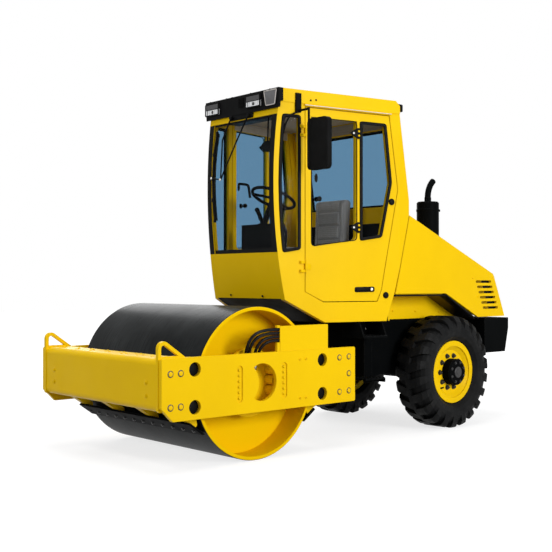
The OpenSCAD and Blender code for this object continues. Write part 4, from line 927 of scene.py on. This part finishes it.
def makeMirrorTrim():
    trim = mirrorTrim
    outline = roundCorners(trim["outline"], trim["round"], 6)
    makePiece("mirrorGlass", toFront(slab(outline, *trim["glass"]), trim["back"]), "mirrorSilver")
    # Painted highlight: the pale rim stands for light along the mirror's edge
    rim = rubberFrame(outline, *trim["rim"])
    for v in rim.verts:
        v.co.y = -v.co.y
    makePiece("mirrorRimHighlight", toFront(rim, trim["back"]), "paleEdge")
    makePiece("mirrorStay", sweptTube(trim["stay"], trim["stayRadius"]), "blackPlastic")


makeMirrorTrim()


# Door hardware: pull handle, pane hinges, latch knobs and bumpers
doorTrim = {
    "handle": [(-1143, 1187), (-1327, 1190), (-1327, 1148), (-1143, 1145)], "handleForm": (16, 6, 2.5),
    "lever": [(-1153, 1178), (-1276, 1180), (-1276, 1157), (-1153, 1155)], "leverForm": (12, 11, 4), "leverStand": 3,
    "lock": (-1296, 1169, 4), "lockForm": [(0, 8), (4, 8), (4, 9.5), (11, 9.5), (12, 8), (12, 0), (0, 0)],
    "hinges": (2391, 1653), "hinge": [(-1096, 0), (-1168, 43), (-1193, 43), (-1193, -43), (-1168, -43)],
    "hingeForm": (14, 5, 2), "hingeStand": 1,
    "hingeBolts": [(-1133, 0)], "barBolts": [(-1181, 17), (-1181, -17)], "bolt": (9, 4, 2), "boltStand": 5.5,
    "bumper": (-1494, 1868, 27), "lowBumper": (-1437, 1121, 26),
    "latch": (-803, 2023), "latchSize": (34, 14, 14), "knob": (-833, 1865, 19), "knobReach": 46, "inside": -12,
}


def drawHandle():
    trim = doorTrim
    bm = ontoCabSide(plate(trim["handle"], *trim["handleForm"]))
    joinTo(bm, ontoCabSide(plate(trim["lever"], *trim["leverForm"]), trim["leverStand"]))
    return bm


def drawLock():
    return placed(turned(doorTrim["lockForm"], 20), facing(sideNormal, onCabSide(*doorTrim["lock"])))


def drawPaneHinges():
    trim = doorTrim
    bm = bmesh.new()
    for z in trim["hinges"]:
        wing = plate([(x, z + dz) for x, dz in trim["hinge"]], *trim["hingeForm"])
        joinTo(bm, ontoCabSide(wing, trim["hingeStand"]))
    return bm


def drawHingeBolts(name):
    trim = doorTrim
    places = [onCabSide(x, z + dz, trim["boltStand"]) for z in trim["hinges"] for x, dz in trim[name]]
    return rowOf(dome, trim["bolt"], sideNormal, places)


def drawBumper(name):
    x, z, radius = doorTrim[name]
    bm = turned([(0, 14), (radius * 0.7, 13), (radius * 0.92, 9), (radius, 4), (radius, 0), (0, 0)], 28)
    return placed(bm, facing(sideNormal, onCabSide(x, z)))


def drawLatch():
    trim = doorTrim
    inside, reach = trim["inside"], trim["knobReach"]
    bm = placed(stretched(dome(1, 0.55, 0.1), *trim["latchSize"]),
                facing(-sideNormal, onCabSide(*trim["latch"], inside), 90))
    x, z, radius = trim["knob"]
    arc = [(radius * sin(a), reach - radius * cos(a)) for a in (0.45 + 0.3 * k for k in range(9))]
    knob = turned([(0, 0), (20, 0), (20, 4), (6, 7)] + arc + [(0, reach + radius)], 24)
    joinTo(bm, knob, facing(-sideNormal, onCabSide(x, z, inside)))
    return bm


def makeDoorTrim():
    bothSides("doorHandle", "blackPlastic", "door_SIDE", drawHandle)
    bothSides("doorLock", "zincPlate", "door_SIDE", drawLock)
    bothSides("paneHinges", "blackPlastic", "door_SIDE", drawPaneHinges)
    bothSides("paneBolts", "zincPlate", "door_SIDE", drawHingeBolts, "hingeBolts")
    bothSides("barBolts", "machineYellow", "door_SIDE", drawHingeBolts, "barBolts")
    bothSides("doorBumper", "windowRubber", "door_SIDE", drawBumper, "bumper")
    bothSides("sillBumper", "windowRubber", "rear_frame", drawBumper, "lowBumper")
    bothSides("paneLatch", "blackPlastic", "door_SIDE", drawLatch)


makeDoorTrim()
print("visor, mirror and doors trimmed")


# Windscreen wiper: two arms from the header to a hinged blade, drawn in Y and Z before the glass
wiperLook = {
    "pivots": [(-114, 2512), (95, 2508)], "knee": [(-197, 2346), (-15, 2326)], "joint": (-200, 2034),
    "link": (-312, 2053), "blade": [(-282, 2410), (-306, 2240), (-312, 2053), (-308, 1880), (-292, 1716)],
    "proud": 26, "header": (-150, 2492, 130, 2530), "headerForm": (8, 12, 3), "headerZ": 2510,
    "boss": [(0, 0), (15, 0), (15, 22), (12, 26), (0, 26)], "arm": 6,
    "layers": ((16, 9), (-6, 4), (5, 4.5)), "clip": ((-5, -10, -16), (10, 10, 16)), "clipAhead": 14,
    "bolt": (10, 5, 3), "boltAhead": 30, "bossAhead": 10,
}


def onScreen(y, z, ahead):
    return (screenX(z, screenBand["recess"] + ahead), y, z)


def makeWiper():
    look = wiperLook
    bm = toFront(plate(rect(*look["header"]), *look["headerForm"]), screenX(look["headerZ"], 9))
    for pivot, knee in zip(look["pivots"], look["knee"]):
        joinTo(bm, turned(look["boss"], 20), facing(forward, onScreen(*pivot, look["bossAhead"])))
        points = [pivot, knee, look["joint"], look["link"]]
        joinTo(bm, sweptTube([onScreen(*point, look["proud"]) for point in points], look["arm"], False))
    for ahead, radius in look["layers"]:
        joinTo(bm, sweptTube([onScreen(y, z, ahead) for y, z in look["blade"]], radius))
    for y, z in look["blade"]:
        joinTo(bm, roundBox(*look["clip"]), Matrix.Translation(onScreen(y, z, look["clipAhead"])))
    makePiece("wiper", bm, "blackPlastic")
    joints = [onScreen(*look[name], look["boltAhead"]) for name in ("joint", "link")]
    makePiece("wiperBolts", rowOf(dome, look["bolt"], forward, joints), "zincPlate")


makeWiper()


# Cab interior: headliner, a dark overhead console that also stands in for the shade at the ceiling's front, room
# mirror, lever and pull handle
cabinLook = {
    "headliner": (-1530, -515, 44, 2562, 2579), "linerEdge": (6, 3),
    "overhead": ((-700, -330, 2500), (-520, 330, 2561), 14, 4),
    "mirror": (-540, 211, 2268), "mirrorSize": (44, 62, 26), "rod": [(4, 0, 30), (6, 4, 120), (2, 8, 236)],
    "rodRadius": 6, "gripRadius": 17, "stalkRadius": 9, "gripTop": (20, 22), "pullRadius": 11,
    "lever": [(-680, -30, 1676), (-680, -34, 1722), (-680, -48, 1760), (-676, -76, 1800)],
    "leverLean": (0.05, -0.45, 0.9), "boot": [(0, 0), (34, 0), (30, 14), (12, 20), (0, 20)],
    "bootPlace": (-680, -30, 1674),
    "pull": [(-789, 431, 2045), (-850, 443, 2047), (-898, 452, 2048), (-908, 455, 2030), (-925, 458, 1938)],
}


def drawHeadliner():
    x0, x1, inset, z0, z1 = cabinLook["headliner"]
    bm = bmesh.new()
    corners = [(x, s * (cabSideY(x) - inset)) for x, s in ((x0, -1), (x1, -1), (x1, 1), (x0, 1))]
    bm.faces.new([bm.verts.new((x, y, z0)) for x, y in corners])
    thicken(bm, (0, 0, z1 - z0))
    bmesh.ops.recalc_face_normals(bm, faces=bm.faces)
    bevelEdges(bm, [e for e in bm.edges if all(abs(v.co.z - z0) < 1e-4 for v in e.verts)],
               *cabinLook["linerEdge"])
    return bm


def drawRoomMirror():
    look = cabinLook
    bm = placed(stretched(dome(1, 0.5, 0.2), *look["mirrorSize"]), facing((1, 0.2, 0), look["mirror"], 90))
    joinTo(bm, sweptTube([Vector(look["mirror"]) + Vector(step) for step in look["rod"]], look["rodRadius"]))
    return bm


def drawLever():
    look = cabinLook
    grip = sweptTube(look["lever"][1:], look["gripRadius"], sides=7)
    joinTo(grip, sweptTube(look["lever"][:2], look["stalkRadius"], False))
    joinTo(grip, dome(*look["gripTop"]), facing(look["leverLean"], look["lever"][-1]))
    joinTo(grip, turned(look["boot"], 24), facing(upward, look["bootPlace"]))
    return grip


def makeCabin():
    makePiece("headliner", drawHeadliner(), "headliner")
    # The dark console also stands in for the shade at the ceiling's front
    makePiece("overheadConsoleShade", roundBox(*cabinLook["overhead"]), "blackPlastic")
    makePiece("roomMirror", drawRoomMirror(), "blackPlastic")
    makePiece("driveLever", drawLever(), "blackPlastic")
    pull = sweptTube(cabinLook["pull"], cabinLook["pullRadius"])
    makePiece("doorPull", mirrored(pull), "blackPlastic", "door_right")


# Pale liners above the windows, a dark one low on the rear wall, and a pale strip along the gutter's top that is a
# painted highlight
linerLook = {
    "wall": (-1530, 2556, -515, 2580), "wallInset": 41, "door": (-1455, 2487, -725, 2552), "doorInset": 42,
    "thick": 5, "round": 6, "edge": 1.5, "rearInset": 39.5, "rearLiner": (-560, 2478, 560, 2556),
    "rearLining": (-556, 1320, 556, 1716), "gutter": (-1484, 2566, -688, 2572), "gutterStand": 14,
}


def drawLiner(name, depth):
    return plate(rect(*linerLook[name]), linerLook["round"], depth, linerLook["edge"])


def drawSideLiner(name):
    return ontoCabSide(drawLiner(name, -linerLook["thick"]), -linerLook[name + "Inset"])


def drawGutterHighlight():
    # Painted highlight: a pale strip standing for the light along the gutter's top
    return ontoCabSide(slab(rect(*linerLook["gutter"]), 3, 1), linerLook["gutterStand"])


def makeLiners():
    bothSides("wallLiner", "headliner", "rear_frame", drawSideLiner, "wall")
    bothSides("doorLiner", "headliner", "door_SIDE", drawSideLiner, "door")
    bothSides("gutterHighlight", "paleEdge", "rear_frame", drawGutterHighlight)
    for name, material in (("rearLiner", "headliner"), ("rearLining", "blackPlastic")):
        sheet = drawLiner(name, linerLook["thick"])
        for v in sheet.verts:
            v.co = (rearWallX(v.co.z) + linerLook["rearInset"] + v.co.y, -v.co.x, v.co.z)
        makePiece(name, sheet, material, "rear_frame", None)


makeCabin()
makeLiners()
print("wiper and cab interior made")


# Bolts of the arch, hood, cab front, steps and roof
panelBolts = {
    "arch": [(-1709, 405, 987), (-1758, 405, 986), (-2048, 405, 976), (-2372, 405, 962)], "archBolt": (10, 5, 3),
    "hood": [(-2544, 640, 1261), (-2618, 640, 1098), (-2834, 640, 1265)], "hoodBolt": (8, 4, 2),
    "steps": [(-1300, 412, 846), (-1424, 412, 846)], "stepBolt": (16, 8),
    "roof": [(-745, 2609), (-792, 2616)], "roofStand": 4, "roofPlug": (8, 3, 1),
    "front": [(-198, 1123), (183, 1118)], "frontTop": (-461, 1450), "frontFall": (48, 351), "frontPlug": (9, 4, 2),
}


def drawRoofPlugs():
    places = [onCabSide(x, z, panelBolts["roofStand"]) for x, z in panelBolts["roof"]]
    return rowOf(dome, panelBolts["roofPlug"], sideNormal, places)


def makePanelBolts():
    look = panelBolts
    bothSides("archBolts", "machineYellow", "rear_frame", rowOf, dome, look["archBolt"], leftward, look["arch"])
    bothSides("hoodBolts", "machineYellow", "hood", rowOf, dome, look["hoodBolt"], leftward, look["hood"])
    bothSides("stepBolts", "zincPlate", "rear_frame", rowOf, hexBolt, look["stepBolt"], leftward, look["steps"], 20)
    bothSides("roofPlugs", "blackPlastic", "rear_frame", drawRoofPlugs)
    (topX, topZ), (back, down) = look["frontTop"], look["frontFall"]
    plugs = [(topX - back * (topZ - z) / down, y, z) for y, z in look["front"]]
    makePiece("frontPlugs", rowOf(dome, look["frontPlug"], (down, 0, -back), plugs), "blackPlastic")


makePanelBolts()


# Grip studs on the step treads
treadLook = {"lower": (-1480, -1274, 424, 548, 458), "upper": (-1416, -1174, 424, 622, 800), "pitch": 34,
             "stud": [(4, 0), (4.5, 4), (6.5, 5), (9, 3.5), (10, 0)]}


def drawTreads():
    look = treadLook
    bm = bmesh.new()
    for key in ("lower", "upper"):
        x0, x1, y0, y1, z = look[key]
        columns, rows = int((x1 - x0) / look["pitch"]), int((y1 - y0) / look["pitch"])
        for i in range(columns + 1):
            for j in range(rows + 1):
                place = (x0 + (x1 - x0) * i / columns, y0 + (y1 - y0) * j / rows, z)
                joinTo(bm, turned(look["stud"], 12), Matrix.Translation(place))
    return bm


bothSides("stepTreads", "frameBlack", "rear_frame", drawTreads)
print("panels bolted and steps studded")


# Louvres: dark baffles behind the slots, which also stand in for the shade inside the hood, and upright fins in their
# front halves
louvreLook = {
    "rear": (-2854, 1279), "slope": 0.4457, "edge": 60, "long": 225, "high": 22, "top": 1240, "pitch": 46, "count": 6,
    "wall": 615, "fins": 7, "finWide": 4, "finDeep": 3, "rearHalf": 560, "rearInset": 29, "below": 8, "above": 20,
    "behind": 24, "before": 14, "baffle": (12, -3, 1), "baffleY": 614.5,
}


def hoodRearX(z):
    x, top = louvreLook["rear"]
    return x - (top - z) * louvreLook["slope"]


def slotStart(z):
    return hoodRearX(z) + louvreLook["edge"]


def baffleSpan():
    look = louvreLook
    return look["top"] - look["pitch"] * look["count"] + look["below"], look["top"] + look["above"]


def drawBaffleShade():
    look = louvreLook
    low, high = baffleSpan()
    rear, front = -look["behind"], look["long"] + look["before"]
    outline = [(slotStart(z) + step, z) for z, step in ((low, rear), (low, front), (high, front), (high, rear))]
    return moved(plate(outline, *look["baffle"]), y=look["baffleY"])


def drawFins():
    look = louvreLook
    wall, wide, deep = look["wall"], look["finWide"], look["finDeep"]
    bm = bmesh.new()
    for i in range(look["count"]):
        z = look["top"] - i * look["pitch"]
        for k in range(look["fins"]):
            x = slotStart(z) + look["long"] * (0.5 + 0.47 * (k + 0.5) / look["fins"]) - wide / 2
            joinTo(bm, roundBox((x, wall - deep, z - look["high"] - 2), (x + wide, wall + deep, z + 2), 1, 1))
    return bm


def makeLouvres():
    bothSides("louvreBaffleShade", "blackPlastic", "hood", drawBaffleShade)
    bothSides("louvreFins", "machineYellow", "hood", drawFins)
    low, high = baffleSpan()
    half = louvreLook["rearHalf"]
    sheet = toFront(slab(rect(-half, low, half, high), 3, 1), 0)
    for v in sheet.verts:
        v.co.x += hoodRearX(v.co.z) + louvreLook["rearInset"]
    makePiece("rearBaffleShade", sheet, "blackPlastic", "hood")


makeLouvres()


# Seal along the sloping edge of the wheel arch, on the arch's sheet below the hood
archSeal = {"edge": [(-1520, 1122), (-2178, 1122), (-2560, 930)], "y": (560, 636), "high": 12, "lean": 3}


def drawArchSeal():
    look = archSeal
    inner, outer = look["y"]
    foot = [(x + look["lean"], z - look["high"]) for x, z in reversed(look["edge"])]
    return moved(slab(look["edge"] + foot, outer - inner, 2), y=inner)


bothSides("archSeal", "windowRubber", "rear_frame", drawArchSeal)


# Painted shade: dark discs set inside the tie holes of the drum's frame, standing for the shadow in the holes
tieHoleShade = {"x": (-576, 576), "y": 738, "z": (418, 662), "radius": 46.6}


def drawTieHoleShades():
    look, r = tieHoleShade, tieHoleShade["radius"]
    places = [(x, look["y"], z) for x in look["x"] for z in look["z"]]
    return rowOf(turned, ([(0, 0), (r, 0), (r, 2), (r - 2, 3), (0, 3)], 40), leftward, places)


bothSides("tieHoleShades", "windowRubber", "front_frame", drawTieHoleShades)


# Bolts along the scraper blades and caps on the crossmember's top
scraperBolts = {
    "tip": (439, 221.6), "along": (0.8192, 0.5736), "reach": 62, "below": 16, "count": 12, "half": 650,
    "bolt": (17, 8), "capZ": 742, "capX": (690, 770), "capY": (-560, -390, -200, 0, 200, 390, 560), "capShift": 60,
    "cap": (9, 3, 2), "smallCap": (7, 3, 2),
}


def makeScraperBolts():
    look = scraperBolts
    (ax, az), reach, below, half = look["along"], look["reach"], look["below"], look["half"]
    x, z = look["tip"][0] + ax * reach + below * az, look["tip"][1] + az * reach - below * ax
    row = [-half + 2 * half * k / (look["count"] - 1) for k in range(look["count"])]
    bm = bmesh.new()
    for end in (1, -1):
        places = [(end * x, y, z) for y in row]
        joinTo(bm, rowOf(hexBolt, look["bolt"], (end * az, 0, -ax), places, 25))
    makePiece("scraperBolts", bm, "blackOxide", "front_frame")
    rear, front = look["capX"]
    caps = rowOf(dome, look["cap"], upward, [(front, y, look["capZ"]) for y in look["capY"]])
    shifted = [(rear, y + look["capShift"], look["capZ"]) for y in look["capY"]]
    joinTo(caps, rowOf(dome, look["smallCap"], upward, shifted))
    makePiece("beamCaps", caps, "machineYellow", "front_frame")


makeScraperBolts()


# Rear work lamps under the roof's rear edge, and the muffler's clamps
rearLook = {
    "lamp": ((-1642, 506, 2606), (-1572, 621, 2668)), "lampEdge": (10, 3), "rim": 9, "lens": (10, -3, 1),
    "muffler": (-2346, 300), "bands": (1530, 1860), "radius": 98,
    "lug": ((98, -9, -10), (114, 9, 10)), "lugTurn": 150,
}


def drawRearLens():
    (x, y0, z0), (_, y1, z1) = rearLook["lamp"]
    rim = rearLook["rim"]
    return toFront(plate(rect(y0 + rim, z0 + rim, y1 - rim, z1 - rim), *rearLook["lens"]), x + 0.4)


def makeRearTrim():
    look, r = rearLook, rearLook["radius"]
    bothSides("rearLamp", "blackPlastic", "rear_frame", roundBox, *look["lamp"], *look["lampEdge"])
    bothSides("rearLens", "reflector", "rear_frame", drawRearLens)
    band = [(r - 1, -11), (r + 2.5, -11), (r + 4, -8), (r + 4, 8), (r + 2.5, 11), (r - 1, 11), (r - 1, -11)]
    bm = bmesh.new()
    for z in look["bands"]:
        place = Matrix.Translation((*look["muffler"], z))
        joinTo(bm, turned(band, 48), place)
        joinTo(bm, roundBox(*look["lug"], 2), place @ Matrix.Rotation(radians(look["lugTurn"]), 4, "Z"))
    makePiece("mufflerBands", bm, "frameBlack", "hood")


makeRearTrim()
print("louvres, liners, scraper bolts and rear lamps made")


# Seat: two pads, blown up as cloth, pressed flat below and stitched
seatLook = {
    "cushion": ((-1383, -211, 1409), (-939, 211, 1498), 40), "back": ((-1476, -193, 1432), (-1397, 193, 1926), 36),
    "lean": -0.05, "voxel": 0.008, "pressure": 4.0, "frames": 20, "cap": 0.013, "foot": 1.4075,
    "bolster": 0.128, "bolsterWide": 0.09, "bolsterHigh": 0.01, "seam": 0.011, "depth": 0.012,
    "rows": (1.585, 1.70, 1.815), "lanes": (-0.17, -0.04, 0.085), "pipingZ": 1456, "pipingRadius": 4,
    "pipingRound": 55, "pipingOut": (10, 12),
}


def padCore(low, high, edge, lean):
    bm = roundBox(low, high, edge, 5)
    for v in bm.verts:
        v.co.x += lean * (v.co.z - low[2])
        v.co = toRow(*v.co)
    return newObject("padCore", bm)


def settle(pad):  # applies the pad's modifiers to its mesh
    shape = bpy.data.meshes.new_from_object(pad.evaluated_get(bpy.context.evaluated_depsgraph_get()))
    pad.modifiers.clear()
    pad.data = shape


def blowUp(pad):
    look = seatLook
    remesh = pad.modifiers.new("remesh", "REMESH")
    remesh.mode, remesh.voxel_size = "VOXEL", look["voxel"]
    settle(pad)
    start = [v.co.copy() for v in pad.data.vertices]
    cloth = pad.modifiers.new("cloth", "CLOTH")
    cloth.settings.use_pressure = True
    cloth.settings.uniform_pressure_force = look["pressure"]
    cloth.settings.effector_weights.gravity = 0
    cloth.point_cache.frame_start, cloth.point_cache.frame_end = 1, look["frames"]
    for number in range(1, look["frames"] + 1):
        scene.frame_set(number)
    settle(pad)
    scene.frame_set(1)
    for v, rest in zip(pad.data.vertices, start):
        step = v.co - rest
        if step.length > look["cap"]:
            v.co = rest + step * (look["cap"] / step.length)
    smooth = pad.modifiers.new("smooth", "SUBSURF")
    smooth.levels = smooth.render_levels = 1
    settle(pad)


def stitch(pad, isBack):
    look = seatLook
    normals = [v.normal.copy() for v in pad.data.vertices]
    for v, normal in zip(pad.data.vertices, normals):
        facingOut = max(0, normal.x if isBack else normal.z)
        across = [abs(abs(v.co.y) - look["bolster"])]
        if abs(v.co.y) < look["bolster"]:
            across += [abs(v.co.z - z) for z in look["rows"]] if isBack else [abs(v.co.x - x) for x in look["lanes"]]
        near = min(across) / look["seam"]
        v.co -= normal * facingOut * look["depth"] * 2.718 ** (-near * near)
        bolster = max(0, abs(v.co.y) - look["bolster"]) / look["bolsterWide"]
        v.co += normal * facingOut * look["bolsterHigh"] * min(1, bolster)


def drawPads():
    look = seatLook
    pads = bmesh.new()
    for name, lean in (("cushion", 0), ("back", look["lean"])):
        pad = padCore(*look[name], lean)
        blowUp(pad)
        stitch(pad, name == "back")
        if name == "cushion":
            for v in pad.data.vertices:
                v.co.z = max(v.co.z, look["foot"])
        pads.from_mesh(pad.data)
        bpy.data.objects.remove(pad)
    for v in pads.verts:
        v.co = (v.co.x * 1000 - drumAxisX, v.co.y * 1000, v.co.z * 1000)
    return pads


def makeSeat():
    look = seatLook
    seat = makePiece("seatPads", drawPads(), "seatCloth", "rear_frame", sharp=80)
    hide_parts("seat")
    (x0, y0, _), (x1, y1, _), _ = look["cushion"]
    ahead, aside = look["pipingOut"]
    rim = roundCorners(rect(x0, y0 - aside, x1 + ahead, y1 + aside), look["pipingRound"], 6)
    route = [(x, y, look["pipingZ"]) for x, y in rim]
    piping = sweptTube(route + route[:1], look["pipingRadius"], False, 3, False)
    makePiece("seatPiping", piping, "windowRubber", "rear_frame", "seat_cover", 80)


makeSeat()
print("seat made")
